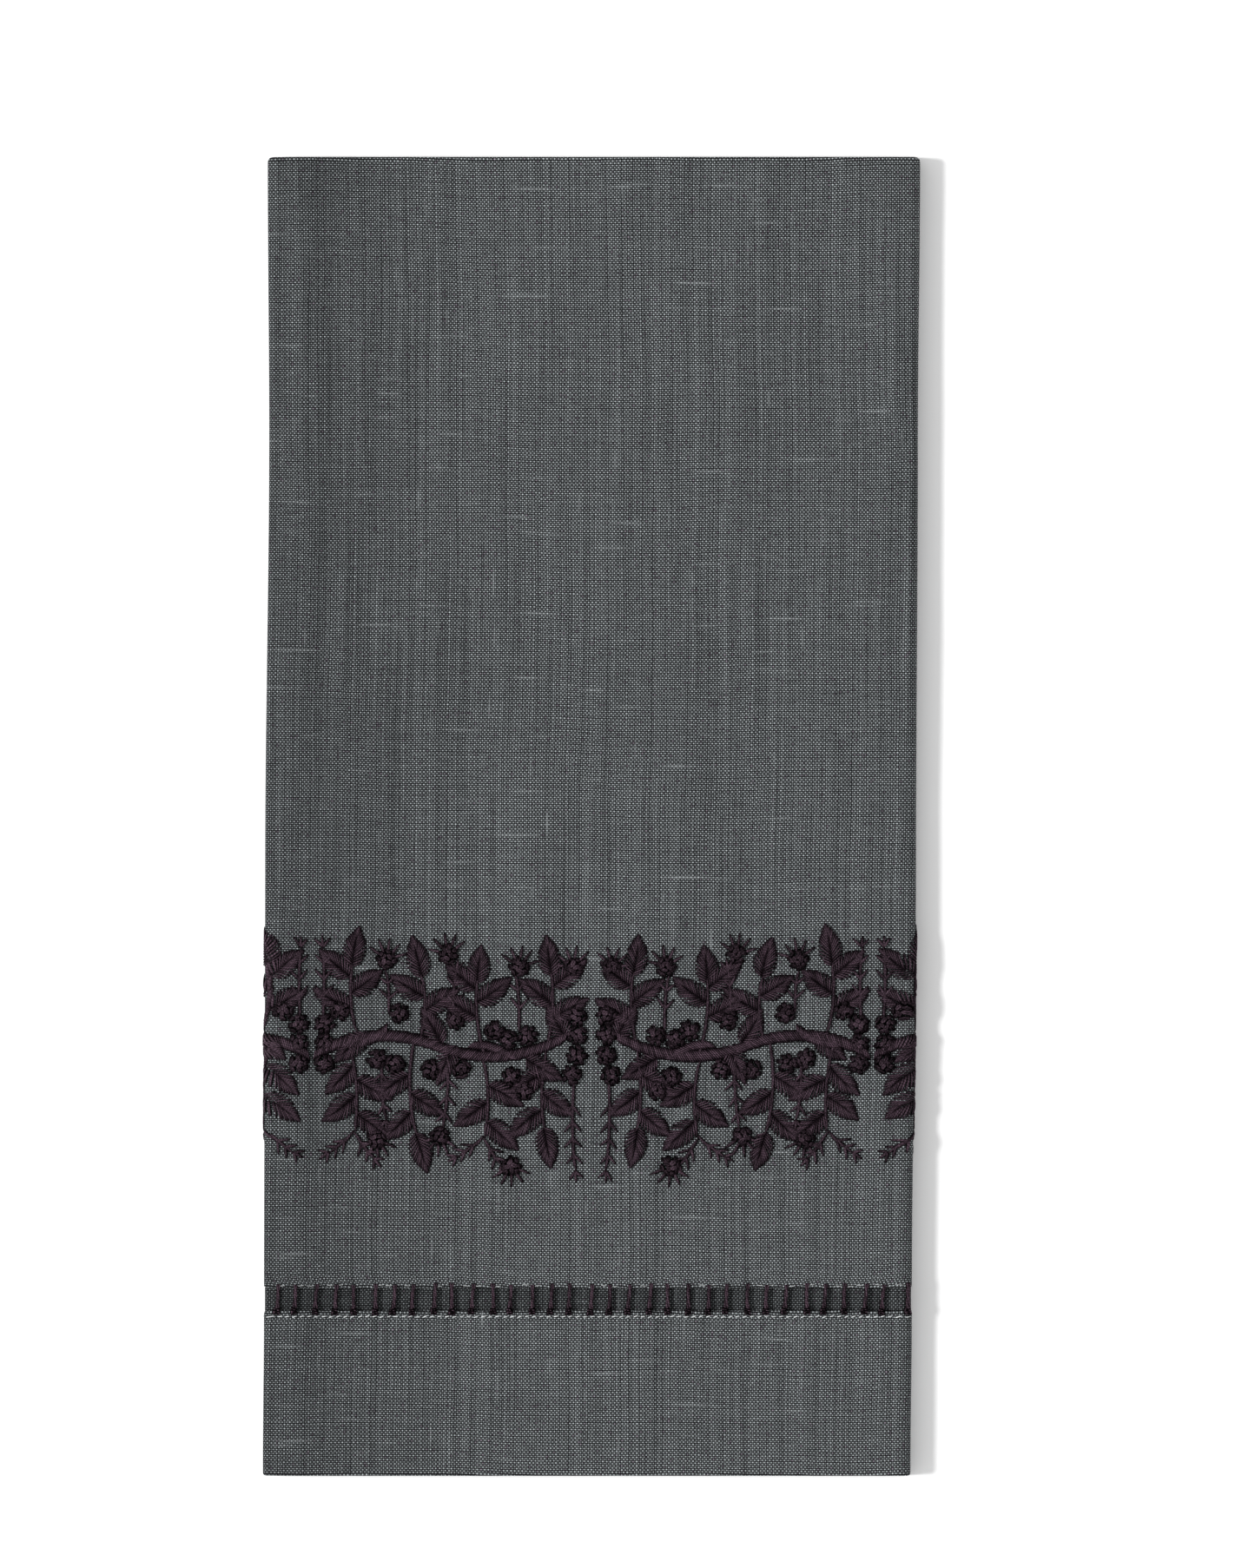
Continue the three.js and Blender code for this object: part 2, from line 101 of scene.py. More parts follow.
# The bars of the ladder, and the cloth's edge, which arches up between them.
BAR_COUNT = 95
BAR_WANDER = 0.35
BAR_WANDER_STEP = 2.3
BAR_MIDDLES = (np.arange(BAR_COUNT) + 0.5) * FLAT_WIDTH / BAR_COUNT + BAR_WANDER * np.sin(
    BAR_WANDER_STEP * np.arange(BAR_COUNT)
)
ARCH_HEIGHT = 0.4
ARCH_SHARPNESS = 2.5
ARCH_REACH = 3.0
BAR_PULL = 0.2
BAR_PULL_REACH = 4.0
TUCK_RADIUS = 0.38
TUCK_LENGTH = 8.0
HEM_LIP = 0.8
HEM_LIP_STOP = 0.97

# The border is a wavy vine with leafy sprays, thorny twigs and berries. Its pattern is one half of a
# repeat, mirrored about the repeat's centre line. In the tables x runs out from that line and y up from the
# border's lower edge, and headings and turns are in degrees.
BORDER_HEIGHT = 75.0
BORDER_TOP = 148.0
BORDER_REPEAT = 150.0
LEAF_LENGTH = 11.2
LEAF_WIDTH = 6.4
LEAF_ANGLE = 55.0
END_LEAF_OVERLAP = 1.2
FORK_ANGLE = 36.0
FORK_LENGTH = 9.0
FORK_TURN = 14.0
FORK_PAIRS = 3
FORK_THORNS_FROM = 0.4
THORN_ANGLE = 42.0
THORN_LENGTH = 4.0
THORN_SHORTENING = 1.0
STAR_RAYS = 5
STAR_ANGLE = 32.0
STAR_RAY_START = 1.8
STAR_RAY_LENGTH = 3.9

# The vine's two boughs and a side bough off each: x, y, heading, length, turn, width.
BOUGHS = (
    (7, 42, -30, 37, 54, 3.1),
    (39.5, 38.5, 26, 36, -56, 3.1),
    (21, 36.2, 40, 12, -44, 2.5),
    (55, 44, -42, 12, 44, 2.5),
)

# Sprays: x, y, heading, length, turn, shares of the length with a side leaf, the first leaf's side, and
# whether the spray ends in a fork of two twigs or in a leaf.
SPRAYS = (
    (12, 39.5, 104, 20, -22, (0.36, 0.56, 0.8), 1, False),
    (28.5, 36.5, 72, 21, 24, (0.52, 0.7, 0.88), -1, False),
    (46, 41, 106, 18, -30, (0.44, 0.66), 1, False),
    (63, 43, 74, 19, 26, (0.34, 0.56, 0.8), -1, False),
    (12, 38.5, -78, 22, -22, (0.3, 0.52, 0.74), 1, False),
    (29, 36, -104, 21, 26, (0.34, 0.56, 0.8), -1, True),
    (47.5, 41, -78, 26, -28, (0.36, 0.54, 0.74), 1, False),
    (65, 40.5, -106, 24, 24, (0.26, 0.42, 0.6, 0.8), 1, True),
)

# Twigs: x, y, heading, length, turn, pairs of thorns, share of the length where they start.
TWIGS = (
    (19.6, 43, 94, 16, -14, 3, 0.4),
    (37, 45, 86, 15, 14, 3, 0.4),
    (54.5, 48, 96, 12, -18, 3, 0.35),
    (72, 46, 94, 20, -8, 4, 0.35),
    (4.6, 31, -86, 25, -10, 5, 0.3),
    (38.5, 37.5, -94, 20.5, 16, 4, 0.35),
    (56, 37.5, -86, 18, -14, 4, 0.3),
)

# Leaves on the vine itself and star berries: x, y, heading. Berries: x, y.
VINE_LEAVES = ((17.5, 36.2, -150), (36.2, 39.6, -64), (40, 40, 60), (60, 42.6, -40), (6.4, 41, 60))
BERRIES = (
    (4, 47.6), (3.9, 42.4), (4, 37), (5.2, 31.8), (17.2, 42.2), (22.3, 41.2), (26.2, 43.6),
    (34.8, 33.4), (36.4, 46.4), (51.6, 48.2), (52.6, 34.6), (57.4, 36), (67.4, 49), (21.4, 31.2),
    (17.8, 27.6), (43, 33.2), (71.5, 45.4), (71.5, 40.1), (71.5, 34.8),
)
STARS = (
    (19.6, 60.6, 98), (38.6, 64, 80), (55, 62.6, 100), (21.4, 7.4, -94), (40.6, 15.4, -84),
    (57.4, 14.6, -94), (5.2, 60.6, 70),
)

# How the motifs are stitched. Heights and radii are given at the four points of a stitch.
STITCH_SHARES = np.array([0.0, 0.32, 0.7, 1.0])
LEAF_STITCHES = 16
LEAF_ROOTS = (0.02, 0.88)
LEAF_SLANTS = (0.1, 0.3)
LEAF_SLANT_ROOTS = (0, 0.3)
LEAF_HEIGHTS = np.array([0.22, 0.74, 0.68, 0.0])
LEAF_END_HEIGHT = 0.55
LEAF_TIP_STOP = 0.99
LEAF_FULLEST = 0.75
LEAF_ROUNDNESS = 0.8
LEAF_ROOT_GAP = 0.12
MIDRIB_HEIGHTS = np.array([0.0, 0.06, 0.06, 0.0])
MIDRIB_STOP = 0.97
BOUGH_HEIGHTS = np.array([0.0, 0.92, 0.92, 0.0])
BOUGH_STITCH_PITCH = 0.6
BOUGH_SLANT = 2.2
BOUGH_TAPER = 0.3
BOUGH_TAPER_SHARPNESS = 4
STEM_HEIGHTS = np.array([0.1, 0.46, 0.46, 0.1])
STEM_STITCH_LENGTH = 2.8
STEM_STITCH_PITCH = 0.95
STEM_STITCH_LEAN = 0.36
STEM_LEAST_STITCHES = 2
STEM_LEAST_SHARE = 0.1
THORN_HEIGHTS = np.array([0.2, 0.45, 0.36, 0.0])
THORN_RADII = np.array([0.42, 0.48, 0.4, 0.22])
KNOT_POINTS = 7
KNOT_TURNS = 2 * np.pi * np.arange(KNOT_POINTS) / KNOT_POINTS
KNOT_LENGTH = 0.78
KNOT_WIDTH = 0.32
KNOT_THREAD = 0.46
OUTER_KNOTS = 8
OUTER_KNOT_REACH = 2.15
OUTER_KNOT_HEIGHT = 0.55
TOP_KNOTS = 4
TOP_KNOT_REACH = 0.95
TOP_KNOT_HEIGHT = 1.05
KNOT_TILT = 0.7
KNOT_DIP = 0.1

# How uneven the hand is, to either side: places and heights in millimetres, the angles of thorns and knots
# in degrees, a knot's own turn in radians, and sizes, bows, leans and a leaf's tip as shares.
STEM_UNEVEN = 0.05
BOUGH_EDGE_UNEVEN = 0.12
BOUGH_HEIGHT_UNEVEN = 0.06
THORN_LENGTH_UNEVEN = 0.3
THORN_SIDE_UNEVEN = 0.25
THORN_ANGLE_UNEVEN = 6.0
LEAF_SIZE_UNEVEN = 0.06
LEAF_BOW = 0.14
LEAF_EDGE_UNEVEN = 0.06
LEAF_TIP_UNEVEN = 0.008
LEAF_HEIGHT_UNEVEN = 0.05
KNOT_TURN_UNEVEN = 0.5
KNOT_SIZE_UNEVEN = 0.14
KNOT_THREAD_UNEVEN = 0.12
KNOT_ANGLE_UNEVEN = 9.0
KNOT_LEAN_UNEVEN = 0.2
KNOT_REACH_UNEVEN = 0.14
KNOT_HEIGHT_UNEVEN = 0.12

# Under the towel the border is pressed into the cloth by the towel's weight, and round the folds it lies
# flatter than on the front. The first two values are shares of the way round the right fold, and the eases
# are distances.
FACE_DOWN_FROM = 0.35
BACK_FROM = 0.55
FOLD_EASE = 4.0
FLAP_EASE = 6.0
PRESS_EASE_BELOW = (14.0, 3.0)
PRESS_EASE_ABOVE = (3.0, 12.0)
PRESS_DEPTH = 0.42
PRESS_SHARE = 0.86
EDGE_PRESS_SHARE = 0.6
THIN_SHARE = 0.52
EDGE_THIN_SHARE = 0.2

# Threads have painted shade in their colour: they are darkest at the first of these heights over the cloth,
# deep between their neighbours, and are in full light from the second one up.
STITCH_LIGHT = (-0.1, 1.25)
KNOT_LIGHT = (0.6, 2.05)
BAR_LIGHT = (-1.7, 0.85)
PALE_LIGHT = (-1.0, -0.2)

# A fold is pressed squarer than a half circle: 1 is round and 0 is square.
FOLD_ROUNDNESS = 0.62
FOLD_SAMPLES = 721

# The back ply comes up into the slot, a little on the front and more where the slot runs over the folds.
# The slot's middle on the back ply is given along the cloth, and along the cloth's own map, which starts at
# the middle of the tucked edge.
SLOT_BULGE = 1.75
SLOT_BULGE_SIDE = 1.0
SLOT_RISE = 0.8
TUCK_QUARTER = np.pi * TUCK_RADIUS / 2
SLOT_ON_BACK = 2 * FRONT_LENGTH + TOP_TURN_LENGTH - SLOT_TOP + SLOT_HEIGHT / 2
SLOT_ON_BACK_MAP = SLOT_ON_BACK - SLOT_TOP - TUCK_RADIUS + TUCK_QUARTER

# The linen's noises: steps and start across the cloth, steps and start along it, and detail. Steps are to
# the metre, or to the yarn where each yarn has its own value.
LINEN_NOISES = {
    "warp_wander": (420, 0, 300, 0, 2),
    "weft_wander": (280, 31, 440, 7, 2),
    "warp_spacing": (0.6, 0, 6, 0, 1),
    "weft_spacing": (10, 0, 0.6, 40, 1),
    "warp_tone": (3.73, 0, 90, 0, 3),
    "weft_tone": (240, 0, 3.73, 0, 3),
    "warp_streak": (2.91, 17, 14, 0, 2),
    "crossing": (7.31, 0, 9.17, 0, 1),
    "warp_slub": (5.17, 0, 60, 80, 1),
    "weft_slub": (45, 50, 5.17, 0, 1),
}

# How uneven the yarns are, as shares of their pitch and of their tone.
YARN_WANDER = 0.3
WARP_SPACING = 0.65
WEFT_SPACING = 0.28
YARN_TONE = 1.1
CROSSING_TONE = 0.9

# Pairs that a value runs between: a yarn's height over the one it crosses, how open a gap's painted shade
# is, the light by tone, the painted light by which yarn is on top, the light by streak, and which yarn's
# slubs show and how strongly.
WARP_CROSSED = (0.3, 1.0)
WEFT_CROSSED = (0.3, 1.05)
GAP_OPEN = (0.2, 1.0)
TONE_LIGHT = (0.8, 1.5)
OVER_LIGHT = (0.46, 1.54)
STREAK_LIGHT = (0.44, 1.54)
SLUB_WEFT = (0.3, 0.7)
SLUB_LIGHT = (0.25, 0.8)

# From where to where a noise passes over into a slub or into plain yarn, and the height up to which a yarn
# is painted in shade.
WARP_SLUBS = (0.74, 0.96)
WEFT_SLUBS = (0.7, 0.92)
PLAIN_YARN = (0.24, 0.34)
SHADED_HEIGHT = 0.15

# The linen has painted shade in its colour where it lies behind the slot and towards the left fold: its
# light there, and where that eases out, from the slot's middle and from the fold.
SLOT_SHADE = 0.5
SLOT_SHADE_EASE = (3.5, 6.0)
LEFT_SHADE = 0.72
LEFT_SHADE_EASE = (-2.0, 62.0)

# A strand's twist, its fibres' steps and starts along and round it, and the turn at its top, where its
# painted highlight lies. Then its light, painted into its colour: what every strand has, what the fibres
# and the strand's own tone add, and pairs as for the linen.
TWIST_LENGTH = 0.7
TWIST_STRANDS = 2
FIBRE_STEPS = (1.6, 12)
FIBRE_STARTS = (57, 31)
FIBRE_DETAIL = 3
CREST_TURN = 0.25
CREST_EASE = (0.68, 1.0)
FIBRE_EASE = (0.36, 0.68)
STRAND_LIGHT = 0.05
FIBRE_LIGHT = 0.6
TONE_ADDED = 0.55
TWIST_LIGHT = (0.4, 1.0)
DEEP_LIGHT = (0.06, 1.0)

# Each thread's painted shade in its hollows, as a share of the colour of its painted highlight, and its
# gloss.
AUBERGINE_LOOK = (0.004, 0.02)
PALE_LOOK = (0.4, 0.2)

# How finely the sheets are divided: places from one bar to the next, steps round the side folds, the least
# distance from those steps, the closely divided stretch beside the slot, and the angle in degrees up to
# which faces are shaded as one.
ARCH_SHARES = (0, 0.12, 0.3, 0.5, 0.7, 0.88)
LEFT_TURN_STEPS = 12
RIGHT_TURN_STEPS = 16
LEAST_STEP = 0.3
NEAR_SLOT = 5.0
SMOOTH_ANGLE = 50.0

THREAD_SIDES = 5
FLAT_UV = "flat"
STRAND_UV = "strand"
TONE = "tone"
EXPOSURE = "exposure"


class TOWEL_PG_cloth(bpy.types.PropertyGroup):
    """Sizes and colours of the linen"""

    thickness: FloatProperty(
        name="Thickness", description="Thickness of one layer of linen", default=0.0007, min=0.0002,
        precision=5, unit="LENGTH",
    )
    warp_pitch: FloatProperty(
        name="Warp pitch", description="Distance between the yarns that run along the towel",
        default=0.0005, min=0.0001, precision=5, unit="LENGTH",
    )
    weft_pitch: FloatProperty(
        name="Weft pitch", description="Distance between the yarns that run across the towel",
        default=0.00056, min=0.0001, precision=5, unit="LENGTH",
    )
    yarn_colour: FloatVectorProperty(
        name="Yarn colour", description="Colour of the slate grey yarn where it is lightest",
        default=(0.415, 0.449, 0.461), min=0.0, max=1.0, size=3, subtype="COLOR",
    )
    fleck_colour: FloatVectorProperty(
        name="Fleck colour", description="Colour of the odd crossing that took the dye warmer",
        default=(0.36, 0.319, 0.373), min=0.0, max=1.0, size=3, subtype="COLOR",
    )
    # The gap colour is painted shade between the yarns.
    gap_shade_colour: FloatVectorProperty(
        name="Gap colour", description="Colour in the gaps between the yarns",
        default=(0.003, 0.003, 0.0035), min=0.0, max=1.0, size=3, subtype="COLOR",
    )
    slub_colour: FloatVectorProperty(
        name="Slub colour", description="Colour of the thick pale runs in the yarn",
        default=(0.43, 0.46, 0.47), min=0.0, max=1.0, size=3, subtype="COLOR",
    )


class TOWEL_PG_thread(bpy.types.PropertyGroup):
    """Sizes and colours of the threads"""

    thickness: FloatProperty(
        name="Thickness", description="Thickness of the embroidery thread", default=0.00054, min=0.0001,
        precision=5, unit="LENGTH",
    )
    # The thread colours are those of the painted highlight along each strand's top.
    colour: FloatVectorProperty(
        name="Embroidery colour",
        description="Colour of the embroidery and ladder thread where it is lightest",
        default=(0.108, 0.068, 0.092), min=0.0, max=1.0, size=3, subtype="COLOR",
    )
    pale_colour: FloatVectorProperty(
        name="Hem stitch colour", description="Colour of the running stitches along the hem band",
        default=(0.8, 0.83, 0.83), min=0.0, max=1.0, size=3, subtype="COLOR",
    )
    seed: IntProperty(
        name="Seed", description="Picks the small unevenness of the hand stitching", default=7, min=0,
    )


class TOWEL_PG_stage(bpy.types.PropertyGroup):
    """The floor, lights and camera"""

    floor_colour: FloatVectorProperty(
        name="Floor colour", description="Colour of the plain floor", default=(0.92, 0.92, 0.92), min=0.0,
        max=1.0, size=3, subtype="COLOR",
    )
    key_strength: FloatProperty(
        name="Key light", description="Strength of the distant soft light from the left", default=3.4,
        min=0.0,
    )
    key_softness: FloatProperty(
        name="Key light's width", description="How wide the key light looks from the towel",
        default=0.22, min=0.0, subtype="ANGLE",
    )
    fill_strength: FloatProperty(
        name="Fill light", description="Strength of the even light all round", default=0.8, min=0.0,
    )
    frame_height: FloatProperty(
        name="Frame height", description="Height of the picture at the towel's face", default=0.4188,
        min=0.01, precision=4, unit="LENGTH",
    )
    camera_height: FloatProperty(
        name="Camera height", description="Height of the camera over the floor", default=8.0, min=0.1,
        unit="LENGTH",
    )


# The fold.

def smooth(values, low, high):
    """0 below low and 1 above high, with an even ease between them."""
    share = np.clip((values - low) / (high - low), 0, 1)
    return share * share * (3 - 2 * share)


def waves(table, x, y):
    """The sum of a table of slow waves at places x and y."""
    return sum(height * np.sin(a * x + b * y + start) for height, a, b, start in table)


def side_folds(y):
    """Where the left and right folds run at distances y along the towel."""
    height = np.clip((y - HEM_END) / FOLDED_LENGTH, 0, 1)
    above = np.clip(np.searchsorted(FOLD_HEIGHTS, height), 1, len(FOLD_HEIGHTS) - 1)
    share = smooth(height, FOLD_HEIGHTS[above - 1], FOLD_HEIGHTS[above])
    left = FOLD_LEFTS[above - 1] + (FOLD_LEFTS[above] - FOLD_LEFTS[above - 1]) * share
    right = FOLD_RIGHTS[above - 1] + (FOLD_RIGHTS[above] - FOLD_RIGHTS[above - 1]) * share
    return left, right


def squared(turn):
    """Sine and cosine round a half circle that has been pressed squarer."""
    sine, cosine = np.sin(turn), np.cos(turn)
    return np.abs(sine) ** FOLD_ROUNDNESS, np.sign(cosine) * np.abs(cosine) ** FOLD_ROUNDNESS


FOLD_TURNS = np.linspace(0, np.pi, FOLD_SAMPLES)
FOLD_STEPS = np.hypot(*(np.diff(side) for side in squared(FOLD_TURNS)))
FOLD_SHARES = np.concatenate([[0], np.cumsum(FOLD_STEPS)]) / FOLD_STEPS.sum()


def round_fold(share):
    """How far out and up the cloth is, a share of the way round a pressed fold."""
    return squared(np.interp(share, FOLD_SHARES, FOLD_TURNS))


def fold_in_half(v, lift):
    """The place along the towel and the depth under the pack's front of points v along the cloth."""
    turn = np.pi * np.clip((v - FRONT_LENGTH) / TOP_TURN_LENGTH, 0, 1)
    radius = PLY_PITCH / 2 + lift
    past = np.maximum(v - FRONT_LENGTH - TOP_TURN_LENGTH, 0)
    on_front = v <= FRONT_LENGTH
    y = np.where(on_front, HEM_END + v, TOP_TURN_Y + radius * np.sin(turn) - past)
    depth = np.where(on_front, OUTER_LIFT - lift, PACK / 2 - radius * np.cos(turn))
    return y, depth


def place(u, v, lift):
    """Where points of the opened-out towel lie once it is folded: in half, then the sides to the back."""
    y, depth = fold_in_half(v, lift)
    left, right = side_folds(y)
    left_axis, right_axis = left + LEFT_RADIUS, right - RIGHT_RADIUS
    panel_x = left_axis + (right_axis - left_axis) * (u - PANEL_START) / PANEL
    left_sine, left_cosine = round_fold(np.clip((PANEL_START - u) / LEFT_ARC, 0, 1))
    right_sine, right_cosine = round_fold(np.clip((u - PANEL_END) / RIGHT_ARC, 0, 1))
    left_x = left_axis - (LEFT_RADIUS - depth) * left_sine + np.maximum(LEFT_FLAP - u, 0)
    right_x = right_axis + (RIGHT_RADIUS - depth) * right_sine - np.maximum(u - RIGHT_FLAP_START, 0)
    left_z = FRONT_TOP - LEFT_RADIUS + (LEFT_RADIUS - depth) * left_cosine
    right_z = FRONT_TOP - RIGHT_RADIUS + (RIGHT_RADIUS - depth) * right_cosine
    in_left, in_right = u < PANEL_START, u > PANEL_END
    x = np.where(in_right, right_x, np.where(in_left, left_x, panel_x))
    z = np.where(in_right, right_z, np.where(in_left, left_z, FRONT_TOP - depth))
    sag = LEFT_SAG * (1 - smooth(x - left, 0, LEFT_SAG_REACH))
    z = z - np.where(in_right, 0, sag)
    z = z * (1 + waves(WAVES, x, y) / FRONT_TOP)
    return np.stack([x, y, z], axis=-1) * MM


def under_towel(u):
    """1 on the right flap, which lies face down under the towel, and 0 elsewhere."""
    return smooth(u, PANEL_END + RIGHT_ARC * FACE_DOWN_FROM, RIGHT_FLAP_START)


def at_folds(u):
    """1 round the side folds and on the flaps behind, and 0 on the front."""
    left = 1 - smooth(u, PANEL_START - LEFT_ARC / 2, PANEL_START + FOLD_EASE)
    return left + smooth(u, PANEL_END - FOLD_EASE, PANEL_END + RIGHT_ARC / 2)


def round_folds(u):
    """1 round the side folds alone, and 0 on the front and on the flaps."""
    on_left = 1 - smooth(u, LEFT_FLAP - FLAP_EASE, LEFT_FLAP)
    on_right = smooth(u, RIGHT_FLAP_START, RIGHT_FLAP_START + FLAP_EASE)
    return at_folds(u) * (1 - (on_left + on_right))


def press(u, v):
    """How far the stitches under the right flap press its cloth up, from the slot to the border."""
    above_hem = smooth(v, *(HEM_HEIGHT - ease for ease in PRESS_EASE_BELOW))
    past_border = smooth(v, *(BORDER_TOP + ease for ease in PRESS_EASE_ABOVE))
    return PRESS_DEPTH * under_towel(u) * (above_hem * (1 - past_border))


def arch(u):
    """0 at a bar of the ladder, rising to 1 midway to the next one."""
    after = np.clip(np.searchsorted(BAR_MIDDLES, u), 1, BAR_COUNT - 1)
    share = (u - BAR_MIDDLES[after - 1]) / (BAR_MIDDLES[after] - BAR_MIDDLES[after - 1])
    return 1 - np.abs(np.clip(2 * share - 1, -1, 1)) ** ARCH_SHARPNESS


def tuck(s, radius):
    """A turned-under edge, s along the cloth from the edge's middle: the distance in and the lift."""
    quarter = np.pi * radius / 2
    turn = np.clip(s / radius, -np.pi / 2, np.pi / 2)
    inward = radius * (1 - np.cos(turn)) + np.maximum(np.abs(s) - quarter, 0)
    return inward, radius * (np.sin(turn) - 1)


def cloth_shape(u, s, thickness):
    """The towel's own cloth: tucked under at the slot, arching up between the bars."""
    inward, tucked = tuck(s, TUCK_RADIUS)
    v = SLOT_TOP + inward + (ARCH_HEIGHT * arch(u) - BAR_PULL) * np.exp(-inward / ARCH_REACH)
    below = v - SLOT_ON_BACK
    upper, lower = -SLOT_HEIGHT / 2 - ARCH_HEIGHT / 2, SLOT_HEIGHT / 2
    highest = SLOT_BULGE * round_folds(u) + SLOT_RISE * (1 - at_folds(u))
    bulge = highest * smooth(below, upper - SLOT_BULGE_SIDE, upper)
    bulge = bulge * (1 - smooth(below, lower, lower + SLOT_BULGE_SIDE))
    return place(u, v, OUTER_LIFT - thickness / 2 + tucked - press(u, v) - bulge)


def hem_shape(u, s, thickness):
    """The hem band: a strip doubled at its lower edge, its two layers closing at the upper one."""
    v, tucked = tuck(s, TUCK_RADIUS)
    share = np.clip((v - HEM_HEIGHT + HEM_LIP) / HEM_LIP, 0, HEM_LIP_STOP)
    lip = TUCK_RADIUS * (1 - np.sqrt(1 - share**2))
    pulled = BAR_PULL * (1 - arch(u)) * smooth(v, HEM_HEIGHT - BAR_PULL_REACH, HEM_HEIGHT)
    closed = np.where(s > 0, -lip, lip)
    return place(u, v + pulled, OUTER_LIFT - thickness / 2 + tucked + closed - press(u, v))


# Sheets.

def stations(*runs):
    """Places in runs of (start, stop, steps), each one once."""
    return np.unique(np.concatenate([np.linspace(start, stop, steps + 1) for start, stop, steps in runs]))


def stations_across():
    """Places across the cloth: close together in the turns, and in step with the bars elsewhere."""
    turns = stations(
        (LEFT_FLAP, PANEL_START, LEFT_TURN_STEPS), (PANEL_END, RIGHT_FLAP_START, RIGHT_TURN_STEPS),
        (0, FLAT_WIDTH, 1),
    )
    starts, gaps = BAR_MIDDLES[:-1], np.diff(BAR_MIDDLES)
    front = np.concatenate([starts + share * gaps for share in ARCH_SHARES])
    front = front[(front > LEFT_FLAP) & (front < RIGHT_FLAP_START)]
    flaps = np.concatenate([starts, starts + gaps / 2, BAR_MIDDLES[-1:]])
    spread = np.concatenate([front, flaps])
    spread = spread[np.min(np.abs(spread[:, None] - turns), axis=1) > LEAST_STEP]
    return np.unique(np.concatenate([turns, spread]))


def deselect_all():
    bpy.ops.object.select_all(action="DESELECT")


def run_across(places, rows, columns, across):
    """How far across the cloth each grid point is, measured along its row from the towel's centre line."""
    grid = np.empty((rows.max() + 1, len(across), 3))
    grid[rows, columns] = places
    steps = np.linalg.norm(np.diff(grid, axis=1), axis=2) / MM
    run = np.concatenate([np.zeros((len(grid), 1)), np.cumsum(steps, axis=1)], axis=1)
    centre = np.searchsorted(across, FLAT_WIDTH / 2)
    return (across[centre] + run - run[:, centre : centre + 1])[rows, columns]


def sheet_piece(name, across, along, shape, thickness, material):
    """A sheet of cloth, laid out on a grid of places across and along it, then given its thickness."""
    deselect_all()
    bpy.ops.mesh.primitive_grid_add(x_subdivisions=len(across) - 1, y_subdivisions=len(along) - 1, size=2)
    piece = bpy.context.object
    piece.name = piece.data.name = name
    mesh = piece.data
    flat = np.empty(3 * len(mesh.vertices))
    mesh.vertices.foreach_get("co", flat)
    flat = flat.reshape(-1, 3)
    if len(flat) != len(across) * len(along):
        raise RuntimeError(f"{name}: the grid has {len(flat)} points")
    columns = np.rint((flat[:, 0] + 1) / 2 * (len(across) - 1)).astype(int)
    rows = np.rint((flat[:, 1] + 1) / 2 * (len(along) - 1)).astype(int)
    u, s = across[columns], along[rows]
    places = shape(u, s, thickness / MM)
    mesh.vertices.foreach_set("co", places.ravel())
    run = run_across(places, rows, columns, across)
    corners = np.empty(len(mesh.loops), dtype=np.int32)
    mesh.loops.foreach_get("vertex_index", corners)
    drifted = np.stack([run + waves(YARN_DRIFTS_ACROSS, u, s), s + waves(YARN_DRIFTS_ALONG, u, s)], axis=-1)
    mesh.uv_layers[0].name = FLAT_UV
    mesh.uv_layers[0].data.foreach_set("uv", (drifted * MM)[corners].ravel())
    wall = piece.modifiers.new("wall", "SOLIDIFY")
    wall.thickness = thickness
    wall.offset = 0
    bpy.ops.object.modifier_apply(modifier=wall.name)
    bpy.ops.object.shade_smooth_by_angle(angle=np.radians(SMOOTH_ANGLE))
    piece.data.materials.append(material)
    return piece


# Threads.

def sweep(lines, axes, closed=False):
    """Round threads along lines of (across, along, lift, radius): their points, faces and maps."""
    count, rings = lines.shape[:2]
    points, radii = lines[..., :3], lines[..., 3:]
    if closed:
        tangents = np.roll(points, -1, axis=1) - np.roll(points, 1, axis=1)
    else:
        tangents = np.gradient(points, axis=1)
    tangents = tangents / np.linalg.norm(tangents, axis=-1, keepdims=True)
    sideways = np.cross(axes[:, None], tangents)
    sideways = sideways / np.linalg.norm(sideways, axis=-1, keepdims=True)
    upward = np.cross(tangents, sideways)
    angles = 2 * np.pi * np.arange(THREAD_SIDES) / THREAD_SIDES
    around = np.cos(angles)[:, None] * sideways[:, :, None] + np.sin(angles)[:, None] * upward[:, :, None]
    skin = points[:, :, None] + radii[:, :, None] * around

    lengths = np.linalg.norm(np.diff(points, axis=1, append=points[:, :1]), axis=-1)
    distances = np.cumsum(lengths, axis=1)
    starts = np.concatenate([np.zeros((count, 1)), distances[:, :-1]], axis=1)
    spans = rings if closed else rings - 1
    n, k, a = (grid.ravel() for grid in np.indices((count, spans, THREAD_SIDES)))
    index = np.arange(count * rings * THREAD_SIDES).reshape(count, rings, THREAD_SIDES)
    next_k, next_a = (k + 1) % rings, (a + 1) % THREAD_SIDES
    corners = (index[n, k, a], index[n, k, next_a], index[n, next_k, next_a], index[n, next_k, a])
    quads = np.stack(corners, axis=-1)
    from_start, to_end = starts[n, k], distances[n, k]
    low, high = a / THREAD_SIDES, (a + 1) / THREAD_SIDES
    maps = np.stack([from_start, low, from_start, high, to_end, high, to_end, low], axis=-1).reshape(-1, 2)
    if closed:
        caps = np.empty((0, THREAD_SIDES), dtype=int)
    else:
        caps = np.concatenate([index[:, 0, ::-1], index[:, -1]])
        maps = np.concatenate([maps, np.zeros((caps.size, 2))])
    return skin.reshape(-1, 3), quads, caps, maps


